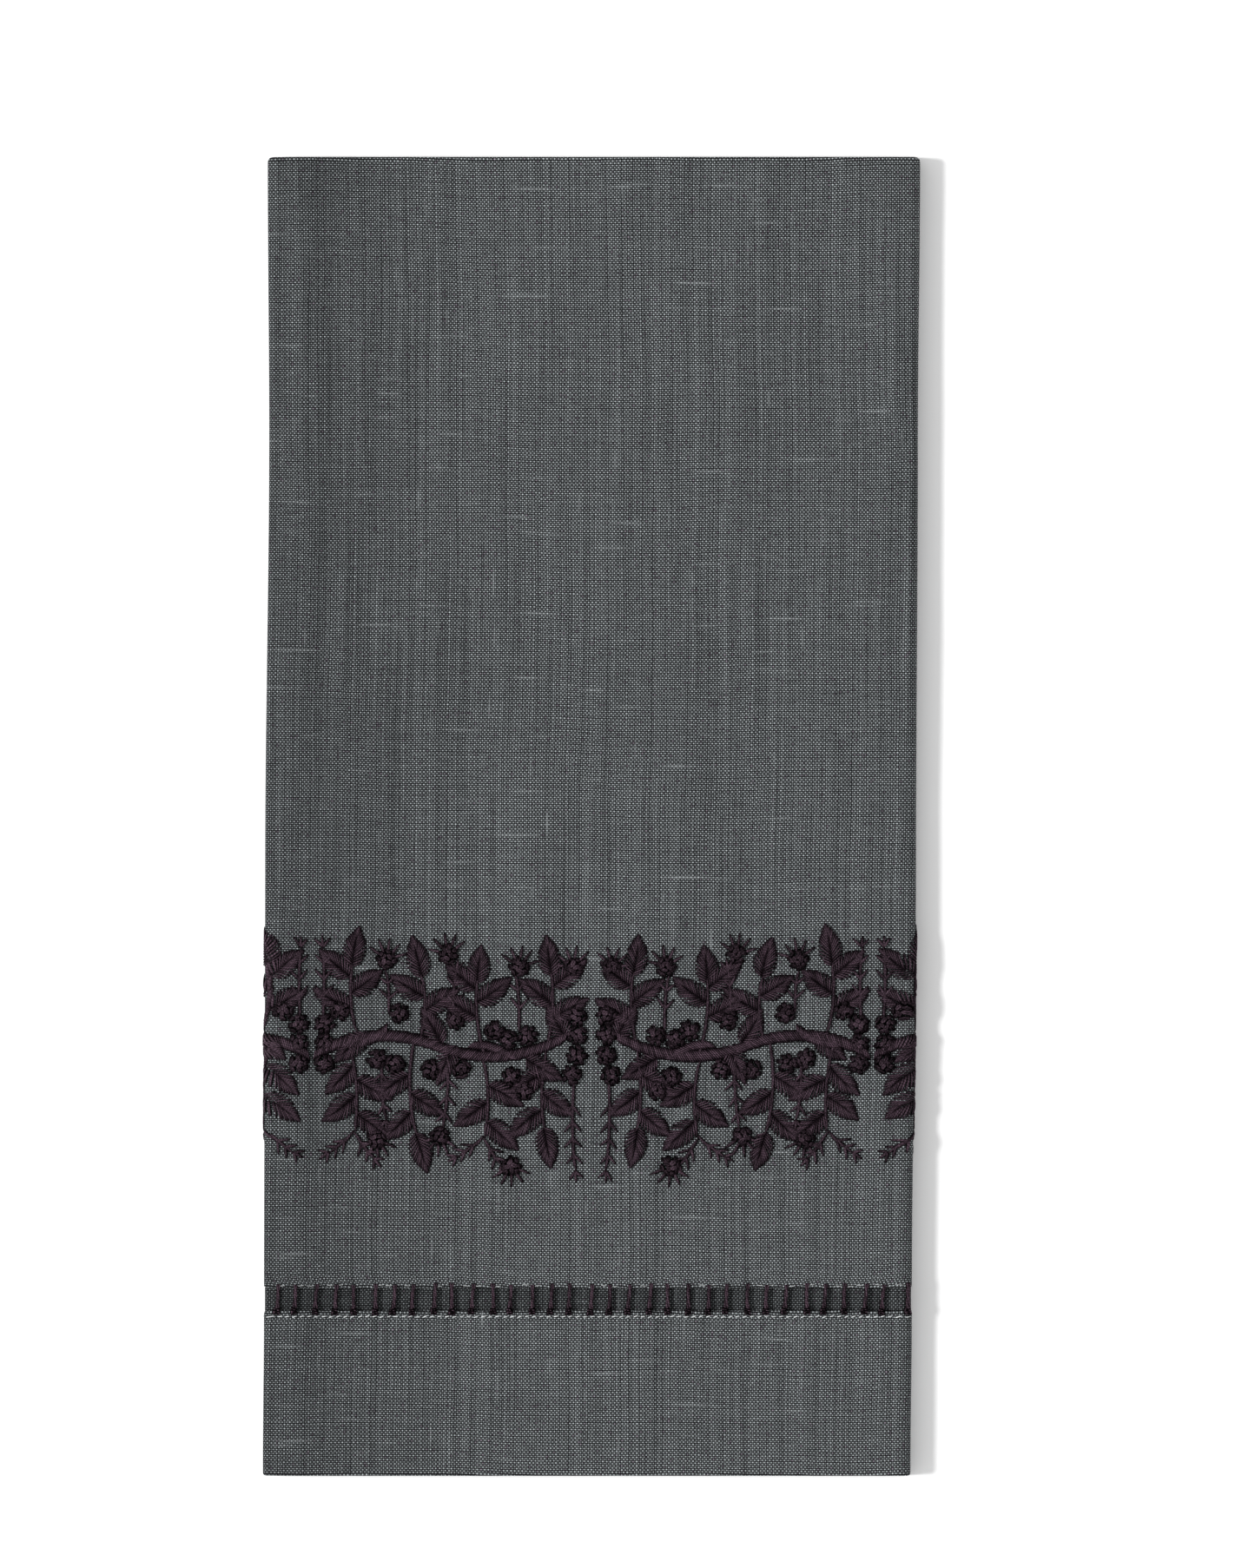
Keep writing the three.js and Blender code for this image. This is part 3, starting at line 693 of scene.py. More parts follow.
def thread_piece(name, runs, rng, material):
    """One mesh of many threads. Each run is (lines, axes, closed, light), on the opened-out towel, light
    being the heights for the painted shade in its colour.
    """
    points, faces, maps, tones, exposures, first = [], [], [], [], [], 0
    for lines, axes, closed, light in runs:
        skin, quads, caps, run_maps = sweep(lines, axes, closed)
        points.append(skin)
        faces += (quads + first).tolist() + (caps + first).tolist()
        maps.append(run_maps)
        tones.append(np.repeat(rng.random(len(lines)), lines.shape[1] * THREAD_SIDES))
        exposures.append(exposed(skin, light))
        first += len(skin)
    flat = np.concatenate(points)
    mesh = bpy.data.meshes.new(name)
    mesh.from_pydata(place(flat[:, 0], flat[:, 1], flat[:, 2]), [], faces)
    mesh.uv_layers.new(name=STRAND_UV).data.foreach_set("uv", np.concatenate(maps).ravel())
    mesh.attributes.new(TONE, "FLOAT", "POINT").data.foreach_set("value", np.concatenate(tones))
    mesh.attributes.new(EXPOSURE, "FLOAT", "POINT").data.foreach_set("value", np.concatenate(exposures))
    mesh.polygons.foreach_set("use_smooth", np.ones(len(mesh.polygons), dtype=bool))
    mesh.materials.append(material)
    piece = bpy.data.objects.new(name, mesh)
    bpy.context.collection.objects.link(piece)
    return piece


def upright(count):
    return np.tile([0.0, 0.0, 1.0], (count, 1))


def flattened(u):
    """How much flatter than on the front stitches lie at the folds and underneath, from 0 to 1."""
    return np.maximum(PRESS_SHARE * under_towel(u), EDGE_PRESS_SHARE * at_folds(u))


def lay(lines):
    """Lines of (across, along, height over the cloth, radius), pressed flat at the folds and underneath."""
    laid = lines.copy()
    u, v = lines[..., 0], lines[..., 1]
    thinned = np.maximum(THIN_SHARE * under_towel(u), EDGE_THIN_SHARE * at_folds(u))
    laid[..., 2] = OUTER_LIFT - press(u, v) + lines[..., 2] * (1 - flattened(u))
    laid[..., 3] = lines[..., 3] * (1 - thinned)
    return laid


def exposed(skin, light):
    """How much light is painted into a thread's colour at its points, for its heights of painted shade and
    of full light: 0 to 1.
    """
    u, v, lift = skin.T
    height = (lift - OUTER_LIFT + press(u, v)) / (1 - flattened(u))
    return smooth(height, *light)


# The border's motifs.

class Spot:
    """A place on the border's pattern and the heading of a stem there, in degrees."""

    def __init__(self, x, y, heading):
        self.x, self.y, self.heading = x, y, heading

    def beside(self, ahead, left):
        """The place that lies so far ahead and to the left."""
        angle = np.radians(self.heading)
        across = ahead * np.cos(angle) - left * np.sin(angle)
        return np.array([self.x + across, self.y + ahead * np.sin(angle) + left * np.cos(angle)])

    def ahead(self, distance):
        return Spot(*self.beside(distance, 0), self.heading)

    def turned(self, angle):
        return Spot(self.x, self.y, self.heading + angle)


class Stem:
    """A stem that sets off from a spot and turns evenly over its length."""

    def __init__(self, spot, length, turn):
        self.spot, self.length, self.turn = spot, length, turn

    def at(self, share):
        start, bend = np.radians(self.spot.heading), np.radians(self.turn)
        now, radius = start + bend * share, self.length / bend
        x = self.spot.x + radius * (np.sin(now) - np.sin(start))
        y = self.spot.y - radius * (np.cos(now) - np.cos(start))
        return Spot(x, y, np.degrees(now))


class Needlework:
    """Stitches and knots of one half of the border's pattern: x, y, height and radius at each point."""

    def __init__(self, rng, radius):
        self.rng, self.radius = rng, radius
        self.stitches, self.knots, self.knot_axes = [], [], []

    def uneven(self, amount):
        return self.rng.uniform(-amount, amount)

    def stitch(self, start, end, heights, radii=None):
        line = np.empty((len(STITCH_SHARES), 4))
        line[:, :2] = start + STITCH_SHARES[:, None] * (end - start)
        line[:, 2] = heights
        line[:, 3] = self.radius if radii is None else radii
        self.stitches.append(line)

    def stem(self, stem):
        """Stem stitch: short slanting stitches, each lying half beside the last."""
        count = max(int(stem.length / STEM_STITCH_PITCH), STEM_LEAST_STITCHES)
        span = STEM_STITCH_LENGTH / stem.length
        for share in np.linspace(0, max(1 - span, STEM_LEAST_SHARE), count):
            start = stem.at(share).beside(0, STEM_STITCH_LEAN + self.uneven(STEM_UNEVEN))
            end = stem.at(min(share + span, 1)).beside(0, -STEM_STITCH_LEAN + self.uneven(STEM_UNEVEN))
            self.stitch(start, end, STEM_HEIGHTS + self.uneven(STEM_UNEVEN))

    def satin(self, stem, width):
        """Slanting satin stitch over a padded bough, narrower at both ends."""
        count = int(stem.length / BOUGH_STITCH_PITCH)
        for share in np.linspace(0, 1, count):
            taper = BOUGH_TAPER * (2 * share - 1) ** BOUGH_TAPER_SHARPNESS
            half = width / 2 * (1 - taper) + self.uneven(BOUGH_EDGE_UNEVEN)
            spot = stem.at(share)
            start, end = spot.beside(-BOUGH_SLANT / 2, half), spot.beside(BOUGH_SLANT / 2, -half)
            self.stitch(start, end, BOUGH_HEIGHTS + self.uneven(BOUGH_HEIGHT_UNEVEN))

    def thorn(self, spot, length):
        end = spot.beside(length + self.uneven(THORN_LENGTH_UNEVEN), self.uneven(THORN_SIDE_UNEVEN))
        self.stitch(spot.beside(0, 0), end, THORN_HEIGHTS, THORN_RADII)

    def leaf(self, spot):
        """Fishbone stitch: slanting stitches from the midrib out to both edges."""
        length = LEAF_LENGTH * (1 + self.uneven(LEAF_SIZE_UNEVEN))
        bow = self.uneven(LEAF_BOW) * length

        def at(share, left):
            return spot.beside(share * length, left + bow * share * (1 - share))

        self.stitch(at(0, 0), at(MIDRIB_STOP, 0), MIDRIB_HEIGHTS)
        for root in np.linspace(*LEAF_ROOTS, LEAF_STITCHES):
            slant = np.interp(root, LEAF_SLANT_ROOTS, LEAF_SLANTS)
            tip = min(root + slant, LEAF_TIP_STOP)
            fill = np.sin(np.pi * tip**LEAF_FULLEST) ** LEAF_ROUNDNESS
            padding = LEAF_END_HEIGHT + (1 - LEAF_END_HEIGHT) * fill
            for side in (1, -1):
                reach = side * (LEAF_WIDTH / 2 * fill + self.uneven(LEAF_EDGE_UNEVEN))
                end = at(tip + self.uneven(LEAF_TIP_UNEVEN), reach)
                heights = LEAF_HEIGHTS * padding + self.uneven(LEAF_HEIGHT_UNEVEN)
                self.stitch(at(root, LEAF_ROOT_GAP * side), end, heights)

    def knot(self, centre, height, axis):
        axis = np.array(axis) / np.linalg.norm(axis)
        first = np.cross(axis, (self.uneven(1), self.uneven(1), KNOT_DIP))
        first = first / np.linalg.norm(first)
        second = np.cross(axis, first)
        turns = KNOT_TURNS + self.uneven(KNOT_TURN_UNEVEN)
        size = 1 + self.uneven(KNOT_SIZE_UNEVEN)
        ring = np.empty((KNOT_POINTS, 4))
        ring[:, :3] = size * KNOT_LENGTH * np.cos(turns)[:, None] * first
        ring[:, :3] += size * KNOT_WIDTH * np.sin(turns)[:, None] * second + (*centre, height)
        ring[:, 3] = KNOT_THREAD * (1 + self.uneven(KNOT_THREAD_UNEVEN))
        self.knots.append(ring)
        self.knot_axes.append(axis)

    def berry(self, spot):
        """A berry of knots: a ring of them leaning outwards, and a few heaped on top."""
        start = self.uneven(np.pi)
        for count, reach, height in (
            (OUTER_KNOTS, OUTER_KNOT_REACH, OUTER_KNOT_HEIGHT),
            (TOP_KNOTS, TOP_KNOT_REACH, TOP_KNOT_HEIGHT),
        ):
            for angle in np.degrees(start) + 360 * np.arange(count) / count:
                spoke = Spot(spot.x, spot.y, angle + self.uneven(KNOT_ANGLE_UNEVEN))
                lean = KNOT_TILT * reach / OUTER_KNOT_REACH + self.uneven(KNOT_LEAN_UNEVEN)
                axis = (lean * np.cos(np.radians(angle)), lean * np.sin(np.radians(angle)), 1.0)
                centre = spoke.beside(reach + self.uneven(KNOT_REACH_UNEVEN), 0)
                self.knot(centre, height + self.uneven(KNOT_HEIGHT_UNEVEN), axis)

    def star(self, spot):
        self.berry(spot)
        for ray in range(STAR_RAYS):
            spoke = spot.turned((ray - (STAR_RAYS - 1) / 2) * STAR_ANGLE)
            self.thorn(spoke.ahead(STAR_RAY_START), STAR_RAY_LENGTH)

    def twig(self, stem, pairs, start):
        self.stem(stem)
        for share in np.linspace(start, 1, pairs):
            for angle in (THORN_ANGLE, -THORN_ANGLE):
                spot = stem.at(share).turned(angle + self.uneven(THORN_ANGLE_UNEVEN))
                self.thorn(spot, THORN_LENGTH - THORN_SHORTENING * share)
        self.thorn(stem.at(1), THORN_LENGTH - THORN_SHORTENING)

    def spray(self, row):
        x, y, heading, length, turn, leaves, first, forked = row
        stem = Stem(Spot(x, y, heading), length, turn)
        self.stem(stem)
        for k, share in enumerate(leaves):
            self.leaf(stem.at(share).turned(LEAF_ANGLE * first * (-1) ** k))
        end = stem.at(1)
        if forked:
            for side in (1, -1):
                fork = Stem(end.turned(FORK_ANGLE * side), FORK_LENGTH, FORK_TURN * side)
                self.twig(fork, FORK_PAIRS, FORK_THORNS_FROM)
        else:
            self.leaf(end.ahead(-END_LEAF_OVERLAP))

    def half_repeat(self):
        """All the motifs of one half of the pattern."""
        for x, y, heading, length, turn, width in BOUGHS:
            self.satin(Stem(Spot(x, y, heading), length, turn), width)
        for row in SPRAYS:
            self.spray(row)
        for x, y, heading, length, turn, pairs, start in TWIGS:
            self.twig(Stem(Spot(x, y, heading), length, turn), pairs, start)
        for x, y, heading in VINE_LEAVES:
            self.leaf(Spot(x, y, heading))
        for x, y in BERRIES:
            self.berry(Spot(x, y, 0))
        for x, y, heading in STARS:
            self.star(Spot(x, y, heading))


def on_cloth(lines, centre, side):
    """Lines of the pattern in the opened-out towel's terms, for a repeat's centre and one side of it."""
    laid = lines.copy()
    laid[..., 0] = FLAT_WIDTH / 2 + centre + side * lines[..., 0]
    laid[..., 1] = BORDER_HEIGHT + lines[..., 1]
    return lay(laid)


# Materials.

class Value:
    """A shader value that takes part in Python expressions, and the way to add any other node."""

    def __init__(self, tree, socket=None):
        self.tree, self.socket = tree, socket

    def node(self, kind, settings=None, inputs=None, output=0):
        """Adds a node of a kind, applies its settings, then fills or links its sockets."""
        node = self.tree.nodes.new(kind)
        for key, setting in (settings or {}).items():
            setattr(node, key, setting)
        for key, value in (inputs or {}).items():
            if isinstance(value, Value):
                self.tree.links.new(value.socket, node.inputs[key])
            else:
                node.inputs[key].default_value = value
        return Value(self.tree, node.outputs[output] if node.outputs else None)

    def maths(self, operation, *values):
        return self.node("ShaderNodeMath", {"operation": operation}, dict(enumerate(values)))

    def __add__(self, other):
        return self.maths("ADD", self, other)

    def __radd__(self, other):
        return self.maths("ADD", other, self)

    def __sub__(self, other):
        return self.maths("SUBTRACT", self, other)

    def __rsub__(self, other):
        return self.maths("SUBTRACT", other, self)

    def __mul__(self, other):
        return self.maths("MULTIPLY", self, other)

    def __rmul__(self, other):
        return self.maths("MULTIPLY", other, self)

    def __truediv__(self, other):
        return self.maths("DIVIDE", self, other)

    def __rtruediv__(self, other):
        return self.maths("DIVIDE", other, self)

    def __pow__(self, other):
        return self.maths("POWER", self, other)

    def floor(self):
        return self.maths("FLOOR", self)

    def cos(self):
        return self.maths("COSINE", self)

    def sin(self):
        return self.maths("SINE", self)

    def odd(self):
        """1 for odd whole numbers and 0 for even ones."""
        return self.maths("FLOORED_MODULO", self, 2)

    def clamped(self):
        return self.maths("MAXIMUM", self.maths("MINIMUM", self, 1), 0)

    def either(self, other, chosen):
        """This value where chosen is 0 and the other where it is 1."""
        return self + (other - self) * chosen

    def ramp(self, low, high):
        """0 below low and 1 above high."""
        return self.node(
            "ShaderNodeMapRange", {"interpolation_type": "SMOOTHSTEP"}, {"Value": self, 1: low, 2: high}
        )

    def around(self, spread):
        """A noise's swing to both sides of its middle, as wide in all as the spread."""
        return (self - 0.5) * spread

    def between(self, low, high):
        """Low where this value is 0 and high where it is 1."""
        return low + (high - low) * self

    def channel(self, which):
        return self.node("ShaderNodeSeparateXYZ", None, {0: self}, which)

    def noise(self, across, along, detail=1):
        """Soft noise of about 0 to 1 over a plane of two values."""
        spot = self.node("ShaderNodeCombineXYZ", None, {"X": across, "Y": along})
        settings = {"noise_dimensions": "2D"}
        return self.node("ShaderNodeTexNoise", settings, {"Vector": spot, "Scale": 1.0, "Detail": detail})

    def blend(self, colour_a, colour_b):
        """The first colour where this value is 0 and the second where it is 1."""
        inputs = {0: self}
        for key, colour in ((6, colour_a), (7, colour_b)):
            inputs[key] = colour if isinstance(colour, Value) else (*colour, 1.0)
        return self.node("ShaderNodeMix", {"data_type": "RGBA"}, inputs, 2)


def new_finish(name):
    """A material with an empty node tree, and a value to start its expressions from."""
    material = bpy.data.materials.new(name)
    material.use_nodes = True
    material.node_tree.nodes.clear()
    return material, Value(material.node_tree)


def shade(start, inputs):
    """Ends a finish in its shader, with constant or varying inputs."""
    shader = start.node("ShaderNodeBsdfPrincipled", None, inputs)
    start.node("ShaderNodeOutputMaterial", None, {"Surface": shader})


def linen_finish(name, cloth):
    """Plain-woven linen: uneven yarns over and under each other with a painted highlight on their crowns,
    painted shade in the gaps, and slubs along the yarn.
    """
    material, start = new_finish(name)
    flat = start.node("ShaderNodeUVMap", {"uv_map": FLAT_UV})
    u, s = flat.channel(0), flat.channel(1)

    def noise(which, across, along):
        across_steps, across_start, along_steps, along_start, detail = LINEN_NOISES[which]
        return start.noise(across * across_steps + across_start, along * along_steps + along_start, detail)

    warp_count, weft_count = u / cloth.warp_pitch, s / cloth.weft_pitch
    warp_spacing = noise("warp_spacing", warp_count, s).around(WARP_SPACING)
    weft_spacing = noise("weft_spacing", u, weft_count).around(WEFT_SPACING)
    across = warp_count + warp_spacing + noise("warp_wander", u, s).around(YARN_WANDER)
    along = weft_count + weft_spacing + noise("weft_wander", u, s).around(YARN_WANDER)
    warp, weft = across.floor(), along.floor()
    weft_over = (warp + weft).odd()
    warp_crown = ((across - warp - 0.5) * np.pi).cos() ** 2
    weft_crown = ((along - weft - 0.5) * np.pi).cos() ** 2
    warp_height = warp_crown * weft_crown.between(*WARP_CROSSED)
    weft_height = weft_crown * warp_crown.between(*WEFT_CROSSED)
    height = warp_height.either(weft_height, weft_over)
    open_corner = ((across + 0.5).floor() + (along + 0.5).floor()).odd()
    hole_shade = (1 - warp_crown) * (1 - weft_crown) * open_corner.between(*GAP_OPEN)

    yarn_tone = noise("warp_tone", warp, s).either(noise("weft_tone", u, weft), weft_over)
    crossing = noise("crossing", warp, weft)
    tone = yarn_tone.around(YARN_TONE) + crossing.around(CROSSING_TONE)
    warp_slub = noise("warp_slub", warp, s).ramp(*WARP_SLUBS)
    weft_slub = noise("weft_slub", u, weft).ramp(*WEFT_SLUBS)
    slub = warp_slub.either(weft_slub, weft_over.between(*SLUB_WEFT))
    # Painted shade in the linen's colour, behind the slot and towards the left fold.
    from_slot = start.maths("ABSOLUTE", s - SLOT_ON_BACK_MAP * MM)
    clear_of_slot = from_slot.ramp(*(ease * MM for ease in SLOT_SHADE_EASE))
    clear_of_fold = u.ramp(*((PANEL_START + ease) * MM for ease in LEFT_SHADE_EASE))
    painted_shade = clear_of_slot.between(SLOT_SHADE, 1.0) * clear_of_fold.between(LEFT_SHADE, 1.0)
    # Painted light: each yarn is painted lighter towards its crown and lighter where the weft lies on top
    # than where the warp does, and in shade in the gaps and open corners.
    risen = ((height - SHADED_HEIGHT) * tone.between(*TONE_LIGHT)).clamped()
    lightness = risen * weft_over.between(*OVER_LIGHT)
    streaked = noise("warp_streak", warp, s).between(*STREAK_LIGHT)
    brightness = lightness * (1 - hole_shade) * streaked * painted_shade
    yarn = crossing.ramp(*PLAIN_YARN).blend(cloth.fleck_colour, cloth.yarn_colour)
    woven = brightness.blend(cloth.gap_shade_colour, yarn)
    colour = (slub * height.between(*SLUB_LIGHT) * painted_shade).blend(woven, cloth.slub_colour)
    bump = start.node("ShaderNodeBump", None, {"Strength": 0.6, "Distance": 0.0001, "Height": height})
    shade(start, {
        "Base Color": colour, "Roughness": height.between(0.95, 0.8), "Normal": bump,
        "Specular IOR Level": 0.04,
    })
    return material


def thread_finish(name, colour, shade_share, gloss):
    """Twisted thread: painted highlights on the plies along the top of each strand, broken by its fibres,
    and painted shade in its hollows.
    """
    material, start = new_finish(name)
    strand = start.node("ShaderNodeUVMap", {"uv_map": STRAND_UV})
    tone = start.node("ShaderNodeAttribute", {"attribute_name": TONE}, None, 2)
    exposure = start.node("ShaderNodeAttribute", {"attribute_name": EXPOSURE}, None, 2)
    length, turn = strand.channel(0), strand.channel(1)
    plies = ((length / TWIST_LENGTH + turn * TWIST_STRANDS) * (2 * np.pi)).sin() * 0.5 + 0.5
    fibres_along = length * FIBRE_STEPS[0] + tone * FIBRE_STARTS[0]
    fibres_round = turn * FIBRE_STEPS[1] + tone * FIBRE_STARTS[1]
    fibres = start.noise(fibres_along, fibres_round, FIBRE_DETAIL)
    # The painted highlight along the strand's top, and painted shade round its sides and underneath.
    crest = ((turn - CREST_TURN) * (2 * np.pi)).cos() * 0.5 + 0.5
    uneven = STRAND_LIGHT + FIBRE_LIGHT * fibres.ramp(*FIBRE_EASE) + TONE_ADDED * tone
    # Painted shade: the thread's colour darkens deep down between its neighbours, by its exposure.
    light = crest.ramp(*CREST_EASE) * plies.between(*TWIST_LIGHT) * uneven * exposure.between(*DEEP_LIGHT)
    dark = tuple(shade_share * channel for channel in colour)
    relief = {"Strength": 0.5, "Distance": 0.00008, "Height": plies + fibres}
    shade(start, {
        "Base Color": light.clamped().blend(dark, colour), "Roughness": fibres.between(0.62, 0.42),
        "Normal": start.node("ShaderNodeBump", None, relief), "Specular IOR Level": gloss,
    })
    return material


def floor_finish(name, colour):
    material, start = new_finish(name)
    shade(start, {"Base Color": (*colour, 1.0), "Roughness": 0.9, "Specular IOR Level": 0.1})
    return material


def finish_named(name, make, *details):
    """The finish of that name, made on its first use."""
    return bpy.data.materials.get(name) or make(name, *details)


# Operators.

class TOWEL_OT_cloth(bpy.types.Operator):
    """Lays out the towel's cloth, folded in half and in three, from the slot over the top to the back"""

    bl_idname = "towel.cloth"
    bl_label = "Folded cloth"
    bl_options = {"REGISTER", "UNDO"}

    def execute(self, context):
        cloth = context.scene.towel_cloth
        quarter = TUCK_QUARTER
        front = FRONT_LENGTH - SLOT_TOP - TUCK_RADIUS + quarter
        top = front + TOP_TURN_LENGTH
        end = FLAT_LENGTH - SLOT_TOP - TUCK_RADIUS + quarter
        behind_slot, past_slot = SLOT_ON_BACK_MAP - NEAR_SLOT, SLOT_ON_BACK_MAP + NEAR_SLOT
        along = stations(
            (-TUCK_LENGTH, -quarter, 3), (-quarter, quarter, 6), (quarter, NEAR_SLOT, 6),
            (NEAR_SLOT, front, 62), (front, top, 8),
            (top, behind_slot, 24), (behind_slot, past_slot, 24), (past_slot, end, 5),
        )
        linen = finish_named("slate_linen", linen_finish, cloth)
        piece = sheet_piece("woven_cloth", stations_across(), along, cloth_shape, cloth.thickness, linen)
        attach(piece, "root")
        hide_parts("towel_cloth")
        return {"FINISHED"}


class TOWEL_OT_hem_band(bpy.types.Operator):
    """Lays out the hem band, a doubled strip of the same linen"""

    bl_idname = "towel.hem_band"
    bl_label = "Hem band"
    bl_options = {"REGISTER", "UNDO"}

    def execute(self, context):
        cloth = context.scene.towel_cloth
        quarter = TUCK_QUARTER
        edge = HEM_HEIGHT - TUCK_RADIUS + quarter
        along = stations(
            (-edge, -edge + HEM_LIP, 4), (-edge + HEM_LIP, -quarter, 8), (-quarter, quarter, 6),
            (quarter, edge - HEM_LIP, 16), (edge - HEM_LIP, edge, 4),
        )
        linen = finish_named("slate_linen", linen_finish, cloth)
        piece = sheet_piece("doubled_hem_band", stations_across(), along, hem_shape, cloth.thickness, linen)
        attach(piece, "root")
        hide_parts("hem_band")
        return {"FINISHED"}


class TOWEL_OT_ladder(bpy.types.Operator):
    """Sews the ladder: twisted bars of thread across the slot, each knotted at the hem band"""

    bl_idname = "towel.ladder"
    bl_label = "Ladder of bars"
    bl_options = {"REGISTER", "UNDO"}

    strands = 3
    points = 9
    foot_shares = (0.05, 0.42)
    foot_start = HEM_HEIGHT - 0.7
    foot_starts_uneven = (-0.2, 0.1)
    tip_end = SLOT_TOP + 0.9
    tip_ends_uneven = (-0.3, 0.4)
    leans = (-0.1, 0.9)
    bows = (-0.2, 0.2)
    end_height = 0.12
    dip = 0.36
    dip_flatness = 0.8
    twist = 1.1
    first_turns = (0, 0.6)
    strand_reach = 0.26
    foot_reach = 0.38
    tip_reach = 0.14
    tip_spread_shares = (0.8, 1)
    strand_radius = 0.34
    foot_radius = 0.08
    tip_thinning = 0.3
    tip_thin_shares = (0.86, 1)
    flatness = 0.7
    wraps = ((0.25, 0.7), (0.85, 0.66), (1.45, 0.52))
    wrap_slopes = (-0.3, 0.3)
    wrap_height = 0.1
    wrap_flatness = 0.8
    wrap_radius = 0.3

    def execute(self, context):
        thread = context.scene.towel_thread
        rng = np.random.default_rng(thread.seed)
        share = np.linspace(0, 1, self.points)
        foot = 1 - smooth(share, *self.foot_shares)
        tip = smooth(share, *self.tip_spread_shares)
        reach = self.strand_reach + self.foot_reach * foot + self.tip_reach * tip
        thinned = self.tip_thinning * smooth(share, *self.tip_thin_shares)
        radii = (self.strand_radius + self.foot_radius * foot) * (1 - thinned)
        lift = self.end_height - self.dip * np.sin(np.pi * share) ** self.dip_flatness * (share < 1)
        bars, wraps = [], []
        for middle in BAR_MIDDLES:
            low = self.foot_start + rng.uniform(*self.foot_starts_uneven)
            high = self.tip_end + rng.uniform(*self.tip_ends_uneven)
            lean, bow = rng.uniform(*self.leans), rng.uniform(*self.bows)
            u = middle + lean * (share - 0.5) + bow * np.sin(np.pi * share)
            v = low + (high - low) * share
            for strand in range(self.strands):
                turn = 2 * np.pi * (strand / self.strands + self.twist * share)
                turn = turn + rng.uniform(*self.first_turns)
                height = lift + self.flatness * reach * np.sin(turn)
                bars.append(np.stack([u + reach * np.cos(turn), v, height, radii], axis=-1))
            for rise, wrap_reach in self.wraps:
                slope = rng.uniform(*self.wrap_slopes)
                wraps.append(np.stack([
                    np.interp(rise, v - low, u) + wrap_reach * np.cos(KNOT_TURNS),
                    low + rise + slope * np.cos(KNOT_TURNS),
                    self.wrap_height + self.wrap_flatness * wrap_reach * np.sin(KNOT_TURNS),
                    np.full(KNOT_POINTS, self.wrap_radius),
                ], axis=-1))
        runs = (
            (lay(np.array(bars)), upright(len(bars)), False, BAR_LIGHT),
            (lay(np.array(wraps)), np.tile([0.0, -1.0, 0.0], (len(wraps), 1)), True, BAR_LIGHT),
        )
        finish = finish_named("aubergine_thread", thread_finish, thread.colour, *AUBERGINE_LOOK)
        piece = thread_piece("ladder_bars", runs, rng, finish)
        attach(piece, "root")
        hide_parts("ladder_stitch")
        return {"FINISHED"}


class TOWEL_OT_hem_stitches(bpy.types.Operator):
    """Sews the pale stitches: the slanting row under the slot, and the loops along its upper edge"""

    bl_idname = "towel.hem_stitches"
    bl_label = "Pale hem stitches"
    bl_options = {"REGISTER", "UNDO"}

    row = HEM_HEIGHT - 1.3
    pitch = 1.95
    length = 1.34
    rises = np.array([-0.14, -0.06, 0.1, 0.12])
    heights = np.array([-0.26, 0.12, 0.12, -0.26])
    margins = (3.0, 2.0)
    uneven = (-0.1, 0.1)
    rises_uneven = (0.4, 1.6)
    radii = (0.14, 0.18)
    loop_share = 0.45
    loop_spans = ((0.08, 0.5), (0.48, 0.93))
    loop_row = SLOT_TOP - 0.1
    loop_rises = (0.0, 0.5)
    loop_radii = (0.05, 0.08)

    def execute(self, context):
        thread = context.scene.towel_thread
        rng = np.random.default_rng(thread.seed + 1)
        lines = []

        def sew(u, v, radii):
            radius = np.full(len(self.heights), rng.uniform(*radii))
            lines.append(np.stack([u, v, self.heights, radius], axis=-1))

        first, last = self.margins[0], FLAT_WIDTH - self.margins[1]
        for middle in np.arange(first, last, self.pitch):
            u = middle + self.length * (STITCH_SHARES - 0.5) + rng.uniform(*self.uneven)
            v = self.row + self.rises * rng.uniform(*self.rises_uneven) + rng.uniform(*self.uneven)
            sew(u, v, self.radii)
        for start, end in zip(BAR_MIDDLES[:-1], BAR_MIDDLES[1:]):
            for span in self.loop_spans:
                if rng.random() > self.loop_share:
                    continue
                u = start + (end - start) * np.linspace(*span, len(self.heights))
                v = self.loop_row + ARCH_HEIGHT * arch(u) + rng.uniform(*self.loop_rises)
                sew(u, v, self.loop_radii)
        pale = finish_named("pale_thread", thread_finish, thread.pale_colour, *PALE_LOOK)
        runs = ((lay(np.array(lines)), upright(len(lines)), False, PALE_LIGHT),)
        piece = thread_piece("pale_hem_stitches", runs, rng, pale)
        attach(piece, "root")
        return {"FINISHED"}


